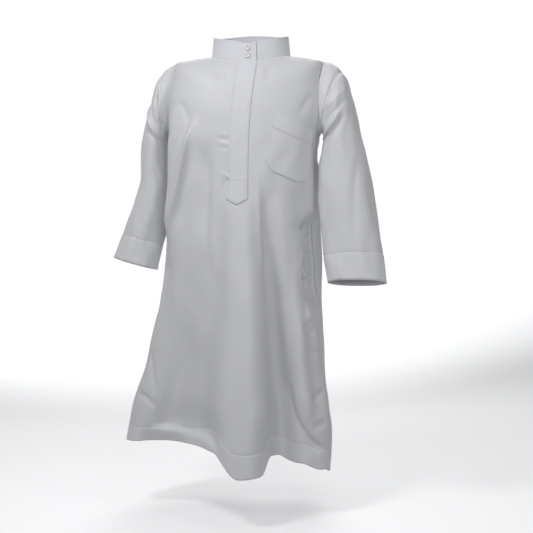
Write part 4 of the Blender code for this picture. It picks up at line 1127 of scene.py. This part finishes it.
# floor, lights and camera
studio = {
    "floorBelow": 0.075,
    "floorRadius": 14,
    "floorSides": 96,
    "floorColour": (0.86, 0.86, 0.87),
    "glowColour": (0.985, 0.99, 1.0, 1),
    "backdropAt": (-0.27, 0.962, -0.03),
    "backdropEdge": (0.74, 0.91),
    "horizon": 1.04,
    "overhead": 0.18,
    "overheadRise": (0.18, 0.50),
    "underneath": 0.36,
    "underneathRise": (-0.35, -0.09),
    "around": 0.52,
    "floorFade": (0.7, 2.6),
    "floorGlow": 0.42,
    # name, place, what it is aimed at, size and strength
    "lights": [
        ("keyLight", (-0.60, -0.92, 0.92), (0, 0, -0.17), 0.40, 9.4),
        ("fillLight", (0.42, -1.45, 0.05), (0.06, 0, -0.36), 0.7, 3.7),
        ("shoulderLight", (0.55, -0.45, 0.85), (0.17, 0, -0.10), 0.4, 1.1),
        ("floorLight", (0.0, 2.2, 1.6), (0, 1.6, -0.9), 2.2, 30.0),
    ],
    "cameraTurn": 7.0,
    "cameraPitch": 3.0,
    "cameraDistance": 2.2,
    "target": (0.029, 0.0, -0.396),
    "lens": 36 * 1157 / 533,
}


def backdropShare(tools, direction):
    # 1 towards the backdrop behind the robe and dimmer all round, by the angle between directions
    unit = tools.add("ShaderNodeVectorMath", {0: direction}, operation="NORMALIZE").outputs["Vector"]
    dot = tools.add("ShaderNodeVectorMath", {0: unit, 1: studio["backdropAt"]}, operation="DOT_PRODUCT")
    return tools.ramp(dot.outputs["Value"], studio["backdropEdge"], (studio["around"], 1.0), "SMOOTHSTEP")


def addFloor():
    # a wide disc that takes light near the robe and glows like the surroundings further out
    material, shader, tools = newMaterial("paleFloor")
    place = tools.place("Object")
    reach = tools.add("ShaderNodeVectorMath", {0: place}, operation="LENGTH").outputs["Value"]
    fade = tools.ramp(reach, studio["floorFade"], (0, 1), "SMOOTHSTEP")
    uneven = tools.ramp(tools.noise(place, 1.3), (0, 1), (0.98, 1.02))
    kept = tools.calc("MULTIPLY", uneven, tools.calc("SUBTRACT", 1.0, fade))
    bright = tools.calc("MULTIPLY", backdropShare(tools, place), studio["horizon"])
    more = tools.calc("SUBTRACT", bright, studio["floorGlow"])
    tools.feed(shader, {
        "Base Color": tools.tint(studio["floorColour"], kept),
        "Emission Color": studio["glowColour"],
        "Emission Strength": tools.calc("MULTIPLY_ADD", fade, more, studio["floorGlow"]),
        "Roughness": 0.8,
    })
    z = float(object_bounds()[0][2]) - studio["floorBelow"]
    sides, radius = studio["floorSides"], studio["floorRadius"]
    turn = np.linspace(0, 2 * np.pi, sides, endpoint=False)
    rim = np.stack([radius * np.cos(turn), radius * np.sin(turn), np.full(sides, z)], axis=1)
    mesh = bpy.data.meshes.new("studioFloor")
    mesh.from_pydata(rim.tolist(), [], [list(range(sides))])
    mesh.materials.append(material)
    floor = bpy.data.objects.new("studioFloor", mesh)
    bpy.context.scene.collection.objects.link(floor)
    # its light doesn't reach the robe, which is lit from below by the surroundings alone
    floor.visible_diffuse = False


def aim(thing, place, target):  # turns a light or camera at a place to look at a target
    thing.location = place
    thing.rotation_euler = (Vector(target) - Vector(place)).to_track_quat("-Z", "Y").to_euler()


def addLight(name, place, target, size, strength):
    lamp = bpy.data.lights.new(name, "AREA")
    lamp.shape, lamp.size, lamp.energy = "DISK", size, strength
    light = bpy.data.objects.new(name, lamp)
    bpy.context.scene.collection.objects.link(light)
    light.visible_camera = False
    aim(light, place, target)


def addCamera():
    turn, pitch = math.radians(studio["cameraTurn"]), math.radians(studio["cameraPitch"])
    look = np.array([-math.sin(turn) * math.cos(pitch), math.cos(turn) * math.cos(pitch), -math.sin(pitch)])
    target = np.array(studio["target"])
    lens = bpy.data.cameras.new("photoView")
    lens.lens, lens.sensor_width, lens.sensor_height = studio["lens"], 36.0, 36.0
    camera = bpy.data.objects.new("photoView", lens)
    bpy.context.scene.collection.objects.link(camera)
    aim(camera, tuple(target - look * studio["cameraDistance"]), tuple(target))
    bpy.context.scene.camera = camera


def addWorld():
    # palest behind the robe at eye height, dimmer overhead and on the side it faces
    world = bpy.data.worlds.new("studioWorld")
    world.use_nodes = True
    tools = NodeTools(world.node_tree)
    direction = tools.place("Generated")
    upward = tools.add("ShaderNodeSeparateXYZ", {"Vector": direction}).outputs["Z"]
    high = tools.ramp(upward, studio["overheadRise"], (studio["horizon"], studio["overhead"]), "SMOOTHSTEP")
    low = tools.ramp(upward, studio["underneathRise"], (studio["underneath"], 1.0), "SMOOTHSTEP")
    sides = tools.calc("MULTIPLY", low, backdropShare(tools, direction))
    tools.feed(world.node_tree.nodes["Background"], {
        "Color": studio["glowColour"],
        "Strength": tools.calc("MULTIPLY", high, sides),
    })
    bpy.context.scene.world = world


addFloor()
for light in studio["lights"]:
    addLight(*light)
addWorld()
bpy.context.scene.view_settings.view_transform = "Standard"
addCamera()
print("studio ready")
